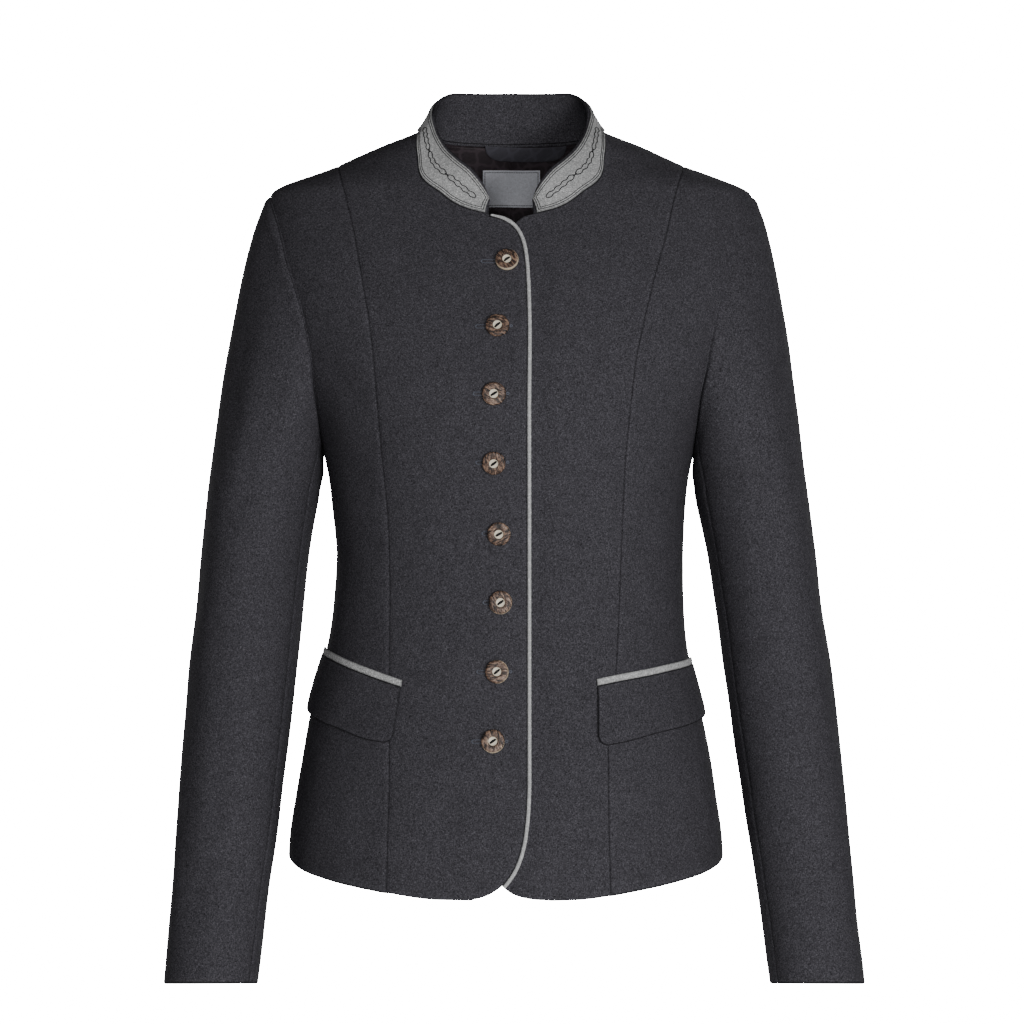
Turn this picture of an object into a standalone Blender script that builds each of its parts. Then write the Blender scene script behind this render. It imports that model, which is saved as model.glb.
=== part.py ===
"""Women's buttoned jacket with a stand collar, worn open-hollow, as separate cut pieces.

Lengths in the tables are millimetres. The origin is between the shoulders at the base of the neck,
the front faces -Y and the wearer's left is +X. Each cloth piece is a wall between two seams, worked
out on one body surface of stacked rings, or on one tube for each sleeve.
"""
from collections import namedtuple

import bpy
import numpy as np
from mathutils import Vector
from mathutils.bvhtree import BVHTree

MM = 0.001

CLOTH = 2.0
COLLAR_CLOTH = 3.0
FELT = 1.5
LINING = 1.0
SEAM_GAP = 0.3
LAP = 3.2
LAP_EASE = 22.0
PIPING_RADIUS = 1.5
PIPING_SINK = 0.6
PIPING_START = 0.004
PIPING_END = 0.949
PIPING_POINTS = 60

SHOULDER_SEAM_Z = -27.5
SHOULDER_TIP_Z = -51.0
UNDERARM_Z = -251.0
BICEP_Z = -290.0
CUFF_Z = -675.5
CUFF_TILT = 0.14

ARM_ROWS = 12
NECK_ROWS = 6
SIDE_ROWS = 13
CENTRE_COLUMNS = 6
SIDE_COLUMNS = 6
CAP_ROWS = 8
SLEEVE_ROWS = 9
FRONT_SEAM_STEP = 10
BACK_SEAM_STEP = -8

RIGHT, LEFT = -1, 1
SIDES = {"right": RIGHT, "left": LEFT}

Ring = namedtuple("Ring", "z half_width front back squareness shift")
RINGS = (
    Ring(6, 62, 42, 43, 2.0, 0),
    Ring(0, 73.5, 46, 49, 2.0, 0),
    Ring(-10, 98, 52, 55, 2.0, 0),
    Ring(-27.5, 138, 59, 66, 2.0, 0),
    Ring(-51, 192, 73, 80, 2.0, 0),
    Ring(-80, 198, 88, 93, 2.1, 0),
    Ring(-110, 200, 103, 103, 2.15, 0),
    Ring(-150, 191, 119, 110, 2.2, -1),
    Ring(-190, 175, 130, 112, 2.2, -1),
    Ring(-212, 164, 133, 111, 2.2, -2),
    Ring(-234, 154.5, 132, 109, 2.2, -2),
    Ring(-251, 149, 131, 106, 2.2, -2),
    Ring(-290, 142, 121, 99, 2.2, -2),
    Ring(-338, 138.4, 113, 92, 2.2, -1),
    Ring(-380, 140, 113, 94, 2.2, -2),
    Ring(-406, 143, 116, 99, 2.2, -3),
    Ring(-440, 151, 120, 107, 2.2, -4),
    Ring(-480, 159.5, 126, 116, 2.2, -4),
    Ring(-530, 168, 133, 125, 2.2, -4),
    Ring(-566, 172.8, 137, 129, 2.2, -4),
    Ring(-604, 174.5, 140, 132, 2.2, -4),
)

Neck = namedtuple("Neck", "angle z")
NECK_FRONT = (
    Neck(90, 0), Neck(68.5, -2), Neck(59.5, -5), Neck(48.3, -10.6), Neck(36.5, -21.3), Neck(27.6, -34.3),
    Neck(22, -44.3), Neck(17, -54), Neck(13.4, -62.4), Neck(9.8, -68.1), Neck(4.7, -72.8),
)
NECK_BACK = (Neck(90, 0), Neck(120, -1.5), Neck(150, -4), Neck(180, -5))

Hem = namedtuple("Hem", "angle z")
HEM = (
    Hem(0, -601), Hem(15, -600), Hem(31, -594.5), Hem(45, -590),
    Hem(60, -585.5), Hem(75, -581), Hem(90, -576.5), Hem(180, -584),
)

Princess = namedtuple("Princess", "z right left back")
PRINCESS = (
    Princess(-27.5, 138, 138, 138),
    Princess(-55, 130, 129, 127),
    Princess(-88, 122, 121, 114),
    Princess(-127, 115, 110, 105),
    Princess(-160, 109, 102, 99),
    Princess(-190, 105.5, 96, 95),
    Princess(-230, 102.5, 91.5, 90),
    Princess(-259, 100, 89, 87),
    Princess(-300, 96, 87, 82),
    Princess(-365, 94, 84.5, 80),
    Princess(-420, 94, 81.7, 84),
    Princess(-485, 93.7, 75, 90),
    Princess(-520, 94.2, 75, 93),
    Princess(-604, 95.5, 76.6, 98),
)

Armhole = namedtuple("Armhole", "z front back")
ARMHOLE = (
    Armhole(-51, 192, 192), Armhole(-60, 190, 191), Armhole(-81, 183, 187),
    Armhole(-111, 175, 180), Armhole(-150, 162, 170), Armhole(-190, 154, 160),
    Armhole(-212, 151.4, 155), Armhole(-234, 149.5, 151), Armhole(-251, 149, 149),
)

Edge = namedtuple("Edge", "x z")
RIGHT_EDGE = (
    Edge(-17.5, -72.8), Edge(-7.6, -75.2), Edge(-1.2, -78.3), Edge(3.5, -82.4), Edge(7.2, -88),
    Edge(9.6, -94), Edge(11.4, -102), Edge(12.6, -112), Edge(13.4, -124), Edge(14, -140),
    Edge(14.4, -165), Edge(14, -227), Edge(14.2, -352), Edge(14.2, -509), Edge(13.5, -530),
    Edge(11.8, -548), Edge(9.4, -561), Edge(4.6, -574.7), Edge(-1, -584), Edge(-7.4, -591),
    Edge(-19.5, -598), Edge(-31, -601),
)
LEFT_EDGE = (
    Edge(17.5, -72.8), Edge(9, -75), Edge(3, -78.5), Edge(-3.5, -84), Edge(-10, -93),
    Edge(-15, -106), Edge(-18, -124), Edge(-20, -145), Edge(-21, -227), Edge(-22, -352),
    Edge(-24, -509), Edge(-23, -540), Edge(-19, -563), Edge(-13, -578), Edge(-6.5, -588.5),
    Edge(4, -595.5), Edge(18, -598.6), Edge(32, -599.6),
)

SleeveRing = namedtuple("SleeveRing", "z centre half_width forward half_depth lean")
SLEEVE = (
    SleeveRing(-290, 197.2, 42.8, 2, 62, -2.8),
    SleeveRing(-358, 205, 43, 0, 58, -1.8),
    SleeveRing(-422, 212.8, 43.2, 3, 54, -0.6),
    SleeveRing(-486, 219.6, 42.1, 9, 50.5, 0.4),
    SleeveRing(-550, 226.2, 40.5, 17, 47, 1.2),
    SleeveRing(-614, 233.2, 38.2, 26, 44, 1.8),
    SleeveRing(-679, 239.6, 37.1, 36.6, 41.9, 2.4),
)

CollarTop = namedtuple("CollarTop", "angle z")
COLLAR_TOP = (
    CollarTop(15.5, -61), CollarTop(17, -55.5), CollarTop(20, -49), CollarTop(23.5, -43.5), CollarTop(30, -35.5),
    CollarTop(40.5, -27.6), CollarTop(52, -19), CollarTop(62.5, -9.6), CollarTop(72, -0.8), CollarTop(80, 8.5),
    CollarTop(88, 16.5), CollarTop(102, 25), CollarTop(117, 31), CollarTop(131, 34.5), CollarTop(180, 36),
)
COLLAR_TOP_WIDTH = 61.5
COLLAR_TOP_FRONT = 74.0
SIDE_SEAM_SWING = 0.11
COLLAR_TOP_BACK = 47.0
COLLAR_ROWS = 4
COLLAR_EDGE = 3.0
COLLAR_LIFT = 0.4
TRIM_CLEAR = 0.6

PocketRow = namedtuple("PocketRow", "angle welt_z flap_z")
POCKETS = {
    "right": (
        PocketRow(29.9, -436, -482.5), PocketRow(39, -430.5, -480), PocketRow(52.6, -423.5, -472.5),
        PocketRow(70, -417, -466), PocketRow(86, -414, -460),
    ),
    "left": (
        PocketRow(25.5, -435, -484.5), PocketRow(33, -432, -481.5), PocketRow(45, -428.5, -475.5),
        PocketRow(60, -425, -471.5), PocketRow(83, -422, -465),
    ),
}
FLAP_LEAN = {"right": 0.4, "left": -1.5}
WELT_HEIGHT = 5.2
FLAP_CORNER = 8.0
FLAP_STAND_TOP = 0.6
FLAP_STAND_HEM = 2.2
FLAP_COLUMNS = 14
FLAP_ROWS = 4

ButtonPlace = namedtuple("ButtonPlace", "x z")
BUTTONS = (
    ButtonPlace(-3.1, -110.8), ButtonPlace(-10.3, -162.0), ButtonPlace(-12.9, -213.9),
    ButtonPlace(-13.0, -266.2), ButtonPlace(-9.2, -320.5), ButtonPlace(-8.0, -373.4),
    ButtonPlace(-10.7, -426.5), ButtonPlace(-13.7, -479.3),
)
ButtonRing = namedtuple("ButtonRing", "radius height")
BUTTON_PROFILE = (
    ButtonRing(7.6, 0.0), ButtonRing(8.9, 1.0), ButtonRing(9.0, 2.4), ButtonRing(8.1, 3.5),
    ButtonRing(4.0, 3.7), ButtonRing(3.2, 2.9),
)
BUTTON_SIDES = 18

LINING_ROWS = 9
LINING_COLUMN = 3
LINING_DROP = 2.5
LINING_CLEAR = 0.6
LABEL_CLEAR = 1.0
LABEL_X = (-23.3, 24.0)
LABEL_Z = (-22.5, -51.2)
LABEL_THICK = 0.6
LOOP_X = (-21.5, 46.0)
LOOP_TOP_Z = -4.6
LOOP_SAG = 1.2
LOOP_HEIGHT = 9.2
LOOP_STAND = 2.0
LOOP_THICK = 0.8

COLOURS = {
    "cloth": (0.036, 0.035, 0.040, 0.92),
    "felt": (0.30, 0.31, 0.32, 0.95),
    "horn": (0.09, 0.055, 0.035, 0.45),
    "lining": (0.018, 0.012, 0.015, 0.5),
    "label": (0.22, 0.22, 0.24, 0.7),
}


def column(table, key):
    """One column of a table as an array."""
    return np.array([getattr(row, key) for row in table], float)


def smooth(table, key, value, at):
    """Monotone cubic curve of one column against another, held past its ends."""
    knots, values = column(table, key), column(table, value)
    order = np.argsort(knots)
    knots, values = knots[order], values[order]
    steps = np.diff(knots)
    rise = np.diff(values) / steps
    slope = np.zeros_like(values)
    slope[0], slope[-1] = rise[0], rise[-1]
    same = rise[:-1] * rise[1:] > 0
    before, after = rise[:-1][same], rise[1:][same]
    slope[1:-1][same] = 2 * before * after / (before + after)
    at = np.clip(at, knots[0], knots[-1])
    k = np.clip(np.searchsorted(knots, at, side="right") - 1, 0, len(knots) - 2)
    h = steps[k]
    s = (at - knots[k]) / h
    return (
        (1 + 2 * s) * (1 - s) ** 2 * values[k] + s * (1 - s) ** 2 * h * slope[k]
        + s * s * (3 - 2 * s) * values[k + 1] + s * s * (s - 1) * h * slope[k + 1]
    )


def ease(t):
    """Smooth step from 0 to 1."""
    t = np.clip(t, 0, 1)
    return t * t * (3 - 2 * t)


def unit(vectors):
    """Vectors scaled to length 1."""
    return vectors / np.maximum(np.linalg.norm(vectors, axis=-1, keepdims=True), 1e-9)


def skin(angle, z):
    """Points of the body surface: a superellipse ring at each height."""
    angle, z = np.broadcast_arrays(np.asarray(angle, float), np.asarray(z, float))
    width, front, back, square, shift = (smooth(RINGS, "z", k, z) for k in Ring._fields[1:])
    sine, cosine = np.sin(angle), np.cos(angle)
    x = shift + width * np.sign(sine) * np.abs(sine) ** (2 / square)
    depth = np.where(cosine > 0, front, back)
    y = -depth * np.sign(cosine) * np.abs(cosine) ** (2 / square)
    return np.stack([x, y, z], -1)


def skin_normal(angle, z):
    """Outward normals of the body surface."""
    step = 1e-3
    across = skin(angle + step, z) - skin(angle - step, z)
    up = skin(angle, z + 0.05) - skin(angle, z - 0.05)
    return unit(np.cross(across, up))


def body(angle, z, out=0.0):
    """Points of the body surface moved out along its normals."""
    return skin(angle, z) + skin_normal(angle, z) * np.asarray(out, float)[..., None]


def angle_at(x, z):
    """Angle on the front half of the ring at height z whose point has this x."""
    width, square, shift = (smooth(RINGS, "z", k, z) for k in ("half_width", "squareness", "shift"))
    ratio = np.clip(np.abs(x - shift) / width, 0, 1)
    return np.sign(x - shift) * np.arcsin(ratio ** (square / 2))


def hem_z(angle):
    """Height of the hem at an angle."""
    return smooth(HEM, "angle", "z", np.abs(np.degrees(angle)))


def along(table, stops):
    """Points (x, z) at fractions of the length of a smooth curve through a table's rows."""
    x, z = column(table, "x"), column(table, "z")
    reach = np.concatenate([[0], np.cumsum(np.hypot(np.diff(x), np.diff(z)))])
    row = namedtuple("Row", "s x z")
    rows = [row(*values) for values in zip(reach / reach[-1], x, z)]
    return np.stack([smooth(rows, "s", "x", stops), smooth(rows, "s", "z", stops)], -1)


def lower_steps():
    """Fractions from the underarm to the hem, closer together towards the hem."""
    t = np.linspace(0, 1, SIDE_ROWS + 1)
    return t + 0.1 * np.sin(np.pi * t)


def rows_between(top, start_power, bottom):
    """Heights of the rows of a vertical seam, with one row at the underarm."""
    t = np.linspace(0, 1, ARM_ROWS + 1) ** start_power
    upper = top + (UNDERARM_Z - top) * t
    lower = UNDERARM_Z + (bottom - UNDERARM_Z) * lower_steps()
    return np.concatenate([upper, lower[1:]])


def front_edge(table, inset):
    """A front's edge below the neckline as (angle, z), moved by inset across its own direction."""
    dense = along(table, np.linspace(0, 1, 400))
    reach = np.concatenate([[0], np.cumsum(np.hypot(*np.diff(dense, axis=0).T))])
    split = reach[np.argmax(dense[:, 1] <= UNDERARM_Z)] / reach[-1]
    upper = split * np.linspace(0, 1, ARM_ROWS - NECK_ROWS + 1) ** 1.35
    stops = np.concatenate([upper, (split + (1 - split) * lower_steps())[1:]])
    edge = along(table, stops)
    ahead = along(table, np.clip(stops + 0.002, 0, 1)) - along(table, np.clip(stops - 0.002, 0, 1))
    ahead = unit(ahead)
    edge = edge + inset * np.stack([ahead[:, 1], -ahead[:, 0]], -1)
    return np.stack([angle_at(edge[:, 0], edge[:, 1]), edge[:, 1]], -1)


def princess(side, key):
    """A princess seam as (angle, z), from the shoulder seam to the hem."""
    bottom = -590.0
    for _ in range(4):
        x = smooth(PRINCESS, "z", key, bottom)
        angle = angle_at(side * x, bottom)
        bottom = float(hem_z(np.pi - abs(angle) if key == "back" else angle))
    z = rows_between(SHOULDER_SEAM_Z, 1.4, bottom)
    reach = angle_at(side * smooth(PRINCESS, "z", key, z), z)
    reach[0] = side * np.pi / 2
    if key == "back":
        reach = side * (np.pi - np.abs(reach))
    return np.stack([reach, z], -1)


def armhole(side, key):
    """Half of an armhole as (angle, z), from the shoulder tip to the underarm."""
    t = np.linspace(0, 1, ARM_ROWS + 1)
    z = SHOULDER_TIP_Z + (UNDERARM_Z - SHOULDER_TIP_Z) * (1 - np.cos(np.pi * t)) / 2
    shift = smooth(RINGS, "z", "shift", z)
    reach = angle_at(side * smooth(ARMHOLE, "z", key, z) + shift, z)
    reach[0] = reach[-1] = side * np.pi / 2
    if key == "back":
        reach = side * (np.pi - np.abs(reach))
    return np.stack([reach, z], -1)


def side_seam(side, key):
    """Armhole half and side seam in one line, which runs a little back towards the hem."""
    steps = lower_steps()[1:]
    angle = side * (np.pi / 2 + SIDE_SEAM_SWING * steps)
    bottom = hem_z(side * (np.pi / 2 + SIDE_SEAM_SWING))
    lower = np.stack([angle, UNDERARM_Z + (bottom - UNDERARM_Z) * steps], -1)
    return np.concatenate([armhole(side, key), lower])


def shoulder(side, first, last, columns):
    """Part of the shoulder seam as (angle, z)."""
    z = np.linspace(first, last, columns + 1)
    return np.stack([np.full_like(z, side * np.pi / 2), z], -1)


def neckline(side, table, columns):
    """Half of the neckline, from the neck point."""
    angle, z = column(table, "angle"), column(table, "z")
    place = skin(np.radians(angle), z)
    reach = np.concatenate([[0], np.cumsum(np.linalg.norm(np.diff(place, axis=0), axis=1))])
    row = namedtuple("Row", "s angle z")
    rows = [row(*values) for values in zip(reach / reach[-1], angle, z)]
    stops = np.linspace(0, 1, columns + 1)
    return np.stack(
        [side * np.radians(smooth(rows, "s", "angle", stops)), smooth(rows, "s", "z", stops)], -1
    )


def hem_line(first, last, columns):
    """The hem between two corners."""
    t = np.linspace(0, 1, columns + 1)
    angle = first[0] + (last[0] - first[0]) * t
    z = hem_z(angle)
    bend = (first[1] - z[0]) * (1 - t) + (last[1] - z[-1]) * t
    return np.stack([angle, z + bend], -1)


def patch(left, right, top, bottom):
    """Surface between four boundary lines, each point blended from all four."""
    u = np.linspace(0, 1, len(top))[None, :, None]
    v = np.linspace(0, 1, len(left))[:, None, None]
    corners = (
        (1 - u) * (1 - v) * top[0] + u * (1 - v) * top[-1] + (1 - u) * v * bottom[0] + u * v * bottom[-1]
    )
    return (1 - u) * left[:, None] + u * right[:, None] + (1 - v) * top[None] + v * bottom[None] - corners


def face_patch(lines, back=False):
    """Grid of (angle, z) for a centre piece, blended between its four lines as seen from the front."""
    flat = patch(*[np.stack([skin(line[:, 0], line[:, 1])[:, 0], line[:, 1]], -1) for line in lines])
    angle = angle_at(flat[..., 0], flat[..., 1])
    if back:
        angle = np.where(angle >= 0, np.pi - angle, -np.pi - angle)
    return np.stack([angle, flat[..., 1]], -1)


def pull_in(points, gap=SEAM_GAP / 2):
    """A grid with its border moved in towards its neighbours by gap."""
    points = points.copy()
    for edge, inner in ((0, 1), (-1, -2)):
        points[edge] += unit(points[inner] - points[edge]) * gap
        points[:, edge] += unit(points[:, inner] - points[:, edge]) * gap
    return points


def grid_normals(points, outward):
    """Normals of a grid from its own differences, turned to the outward side."""
    rows = np.gradient(points, axis=0)
    columns = np.gradient(points, axis=1)
    normals = unit(np.cross(rows, columns))
    flip = np.sign(np.sum(normals * outward, axis=-1, keepdims=True))
    return normals * np.where(flip == 0, 1, flip)


def material(slot):
    """The material of a slot, made once."""
    found = bpy.data.materials.get(slot)
    if found:
        return found
    made = bpy.data.materials.new(slot)
    made.use_nodes = True
    shader = made.node_tree.nodes["Principled BSDF"]
    red, green, blue, rough = COLOURS[slot]
    shader.inputs["Base Color"].default_value = (red, green, blue, 1)
    shader.inputs["Roughness"].default_value = rough
    return made


def add_object(name, points, faces, slot):
    """One closed mesh object from points in millimetres."""
    mesh = bpy.data.meshes.new(name)
    mesh.from_pydata((points * MM).tolist(), [], faces.tolist())
    mesh.validate()
    mesh.materials.append(material(slot))
    mesh.shade_smooth()
    made = bpy.data.objects.new(name, mesh)
    bpy.context.scene.collection.objects.link(made)
    return made


def halves(index):
    """Two triangles for each quad of a grid of point numbers."""
    a, b, c, d = index[:-1, :-1], index[1:, :-1], index[1:, 1:], index[:-1, 1:]
    return np.concatenate([np.stack([a, b, c], -1).reshape(-1, 3), np.stack([a, c, d], -1).reshape(-1, 3)])


def shell(name, outer, inner, slot):
    """A wall between two grids of the same shape, closed by a rim, all in triangles."""
    rows, columns = outer.shape[:2]
    index = np.arange(rows * columns).reshape(rows, columns)
    sheet = halves(index)
    back = rows * columns
    border = np.concatenate([index[:, 0], index[-1, 1:], index[-2::-1, -1], index[0, -2:0:-1]])
    after = np.roll(border, -1)
    rim = np.concatenate(
        [np.stack([border, border + back, after], -1), np.stack([after, border + back, after + back], -1)]
    )
    faces = np.concatenate([sheet, sheet[:, ::-1] + back, rim])
    points = np.concatenate([outer.reshape(-1, 3), inner.reshape(-1, 3)])
    one = points[faces[0]]
    towards = np.cross(one[1] - one[0], one[2] - one[0]) @ (outer[0, 0] - inner[0, 0])
    if towards < 0:
        faces = faces[:, ::-1]
    return add_object(name, points, faces, slot)


def cloth_piece(name, grid, slot="cloth", wall=CLOTH, out=0.0):
    """A wall on the body surface from a grid of (angle, z)."""
    angle, z = grid[..., 0], grid[..., 1]
    outer = pull_in(body(angle, z, out))
    return shell(name, outer, outer - skin_normal(angle, z) * wall, slot)


def lap_depth(angle, z):
    """How far the left front lies in under the right front, at each point."""
    place = skin(angle, z)
    edge = along(RIGHT_EDGE, np.linspace(0, 1, 300))
    falling = np.minimum.accumulate(edge[:, 1])
    cover = np.interp(-z, -falling, edge[:, 0])
    return LAP * (1 - ease((place[..., 0] - cover - PIPING_RADIUS - 1.0) / LAP_EASE))


def build_fronts():
    """The four front pieces."""
    inset = PIPING_RADIUS + SEAM_GAP
    for name, side in SIDES.items():
        table, shift = (RIGHT_EDGE, inset) if side == RIGHT else (LEFT_EDGE, 0.0)
        edge = front_edge(table, shift)
        seam = princess(side, name)
        edge = np.concatenate([neckline(side, NECK_FRONT, NECK_ROWS)[:-1], edge])
        top = shoulder(side, SHOULDER_SEAM_Z, 0, CENTRE_COLUMNS)
        grid = face_patch((seam, edge, top, hem_line(seam[-1], edge[-1], CENTRE_COLUMNS)))
        out = 0.0 if side == RIGHT else -lap_depth(grid[..., 0], grid[..., 1])
        cloth_piece(f"front_{name}", grid, out=out)
        outer_seam = side_seam(side, "front")
        top = shoulder(side, SHOULDER_SEAM_Z, SHOULDER_TIP_Z, SIDE_COLUMNS)
        grid = patch(seam, outer_seam, top, hem_line(seam[-1], outer_seam[-1], SIDE_COLUMNS))
        cloth_piece(f"side_front_{name}", grid)


def back_grid(side):
    """A centre back piece as a grid of (angle, z), its last column on the neckline and centre back seam."""
    seam = princess(side, "back")
    steps = np.linspace(0, 1, ARM_ROWS - NECK_ROWS + 1) ** 1.1
    upper = NECK_BACK[-1].z + (UNDERARM_Z - NECK_BACK[-1].z) * steps
    lower = UNDERARM_Z + (float(hem_z(np.pi)) - UNDERARM_Z) * lower_steps()
    z = np.concatenate([upper, lower[1:]])
    centre = np.stack([np.full_like(z, side * np.pi), z], -1)
    inside = np.concatenate([neckline(side, NECK_BACK, NECK_ROWS)[:-1], centre])
    top = shoulder(side, SHOULDER_SEAM_Z, 0, CENTRE_COLUMNS)
    return face_patch((seam, inside, top, hem_line(seam[-1], centre[-1], CENTRE_COLUMNS)), back=True)


def build_backs():
    """The four back pieces."""
    for name, side in SIDES.items():
        cloth_piece(f"back_{name}", back_grid(side))
        seam, outer_seam = princess(side, "back"), side_seam(side, "back")
        top = shoulder(side, SHOULDER_SEAM_Z, SHOULDER_TIP_Z, SIDE_COLUMNS)
        cloth_piece(
            f"side_back_{name}",
            patch(seam, outer_seam, top, hem_line(seam[-1], outer_seam[-1], SIDE_COLUMNS)),
        )


def sleeve_ring(side, turn, z):
    """Points of a sleeve's ring: turn 0 is outside, a quarter is the front."""
    centre, wide, forward, deep, lean = (smooth(SLEEVE, "z", k, z) for k in SleeveRing._fields[1:])
    tilt = CUFF_TILT * (BICEP_Z - z) / (BICEP_Z - CUFF_Z)
    x = side * (centre + wide * np.cos(turn)) + lean
    y = -forward - deep * np.sin(turn)
    return np.stack([x, y, z + tilt * deep * np.sin(turn)], -1)


def sleeve_cap(side, turn, start, s):
    """Curve from the armhole to the bicep ring, leaving outwards and down, and landing straight."""
    end = sleeve_ring(side, turn, np.full_like(turn, BICEP_Z))
    reach = np.linalg.norm(end - start, axis=-1)
    leave = np.stack(
        [np.full_like(turn, 0.25 * side), -0.12 * np.sin(turn), -0.2 - 0.5 * np.abs(np.sin(turn / 2))], -1
    ) * reach[:, None]
    land = np.array([0.12 * side, 0, -0.95]) * reach[:, None]
    s = s[:, None, None]
    return (
        (1 + 2 * s) * (1 - s) ** 2 * start + s * (1 - s) ** 2 * leave
        + s * s * (3 - 2 * s) * end + s * s * (s - 1) * land
    )


def armhole_loop(side):
    """The whole armhole as (angle, z), with the underarm at both ends and the tip in the middle."""
    front, back = armhole(side, "front"), armhole(side, "back")
    return np.concatenate([back[::-1], front[1:]])


def build_sleeves():
    """Top and under sleeve on each side, cut from one tube."""
    for name, side in SIDES.items():
        loop = armhole_loop(side)
        steps = np.arange(-ARM_ROWS, ARM_ROWS + 1)
        turn = steps * np.pi / ARM_ROWS
        start = skin(loop[:, 0], loop[:, 1])
        cap = sleeve_cap(side, turn, start, np.linspace(0, 1, CAP_ROWS + 1))
        heights = np.linspace(BICEP_Z, CUFF_Z, SLEEVE_ROWS + 1)[1:]
        arm = sleeve_ring(side, turn[None, :], heights[:, None] + 0 * turn[None, :])
        tube = np.concatenate([cap, arm])
        wide = np.concatenate([tube[:, -2:-1], tube, tube[:, 1:2]], axis=1)
        middle = tube[:, :-1].mean(axis=1, keepdims=True)
        normals = grid_normals(wide, wide - middle)[:, 1:-1]
        normals[0] = clear_of_body(loop, start, normals[0])
        inner = tube - normals * CLOTH
        first, last = BACK_SEAM_STEP + ARM_ROWS, FRONT_SEAM_STEP + ARM_ROWS
        cut = slice(first, last + 1)
        outer = pull_in(tube[:, cut])
        shell(f"sleeve_top_{name}", outer, outer + (inner - tube)[:, cut], "cloth")
        under = np.concatenate([tube[:, last:], tube[:, 1:first + 1]], axis=1)
        wall = (inner - tube)
        wall = np.concatenate([wall[:, last:], wall[:, 1:first + 1]], axis=1)
        outer = pull_in(under)
        shell(f"sleeve_under_{name}", outer, outer + wall, "cloth")


def clear_of_body(loop, start, normals):
    """Normals at the armhole without the part that would lean the sleeve's wall into the body."""
    flat = skin_normal(loop[:, 0], loop[:, 1])
    run = np.gradient(start, axis=0)
    away = unit(np.cross(flat, run))
    inward = start.mean(axis=0) - start
    away *= np.sign(np.sum(away * inward, axis=-1, keepdims=True))
    lean = np.maximum(np.sum(normals * away, axis=-1, keepdims=True), 0)
    return unit(normals - lean * away)


def neck_loop(side):
    """Half of the neckline as (angle, z), from the front end to the centre back."""
    front = neckline(side, NECK_FRONT, NECK_ROWS)[::-1]
    front[0] = (angle_at(side * 17.5, -72.8), -72.8)
    return np.concatenate([front, neckline(side, NECK_BACK, NECK_ROWS)[1:]])


def collar_half(side):
    """One half of the collar as a grid, from its bottom row up and from front to back."""
    bottom = skin(*neck_loop(side).T)
    turn = np.radians(np.linspace(COLLAR_TOP[0].angle, 180, 300))
    depth = np.where(np.cos(turn) > 0, COLLAR_TOP_FRONT, COLLAR_TOP_BACK)
    top = np.stack(
        [side * COLLAR_TOP_WIDTH * np.sin(turn), -depth * np.cos(turn),
         smooth(COLLAR_TOP, "angle", "z", np.degrees(turn))], -1
    )
    reach = np.concatenate([[0], np.cumsum(np.linalg.norm(np.diff(top, axis=0), axis=1))])
    share = np.concatenate([[0], np.cumsum(np.linalg.norm(np.diff(bottom, axis=0), axis=1))])
    stops = share / share[-1] * reach[-1]
    top = np.stack([np.interp(stops, reach, top[:, k]) for k in range(3)], -1)
    v = np.linspace(0, 1, COLLAR_ROWS + 1)[:, None, None]
    return (1 - v) * bottom + v * top


def build_collar():
    """The stand collar and the felt on its outside."""
    right, left = collar_half(RIGHT), collar_half(LEFT)
    grid = np.concatenate([right, left[:, -2::-1]], axis=1)
    normals = grid_normals(grid, grid * (1, 1, 0))
    loop = np.concatenate([neck_loop(RIGHT), neck_loop(LEFT)[-2::-1]])
    normals[0] = clear_of_body(loop, grid[0], normals[0])
    outer = pull_in(grid)
    outer[0] += unit(outer[1] - outer[0]) * COLLAR_LIFT
    shell("collar_stand", outer, outer - normals * COLLAR_CLOTH, "cloth")
    trim = outer + normals * (TRIM_CLEAR + FELT)
    under = outer + normals * TRIM_CLEAR
    for layer in (trim, under):
        down = unit(layer[-2] - layer[-1])
        layer[-1] += down * COLLAR_EDGE
        for column_index, inner_index in ((0, 1), (-1, -2)):
            aside = unit(layer[:, inner_index] - layer[:, column_index])
            layer[:, column_index] += aside * COLLAR_EDGE
        layer[0] += unit(layer[1] - layer[0]) * TRIM_CLEAR
    shell("collar_trim", trim, under, "felt")


def tube(name, centres, normals, radius, slot, sides=6):
    """A closed cord along a line of centres."""
    ahead = unit(np.gradient(centres, axis=0))
    across = unit(np.cross(ahead, normals))
    rise = np.cross(across, ahead)
    turn = np.arange(sides) * 2 * np.pi / sides
    rings = centres[:, None] + radius * (
        np.cos(turn)[None, :, None] * across[:, None] + np.sin(turn)[None, :, None] * rise[:, None]
    )
    count = len(centres)
    index = np.arange(count * sides).reshape(count, sides)
    a, b = index[:-1], index[1:]
    c, d = np.roll(b, -1, axis=1), np.roll(a, -1, axis=1)
    faces = np.concatenate([np.stack([a, b, c], -1).reshape(-1, 3), np.stack([a, c, d], -1).reshape(-1, 3)])
    start = np.stack([np.full(sides - 2, 0), np.arange(1, sides - 1), np.arange(2, sides)], -1)
    end = start[:, ::-1] + (count - 1) * sides
    faces = np.concatenate([faces, start, end])
    points = rings.reshape(-1, 3)
    corner = points[faces]
    volume = np.sum(corner[:, 0] * np.cross(corner[:, 1], corner[:, 2]))
    return add_object(name, points, faces if volume > 0 else faces[:, ::-1], slot)


def build_piping():
    """The covered cord in the right front's edge, from the collar to the end of the round corner."""
    dense = along(RIGHT_EDGE, np.linspace(PIPING_START, PIPING_END, PIPING_POINTS))
    angle = angle_at(dense[:, 0], dense[:, 1])
    centres = body(angle, dense[:, 1], -PIPING_SINK)
    return tube("front_piping", centres, skin_normal(angle, dense[:, 1]), PIPING_RADIUS, "felt")


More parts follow.
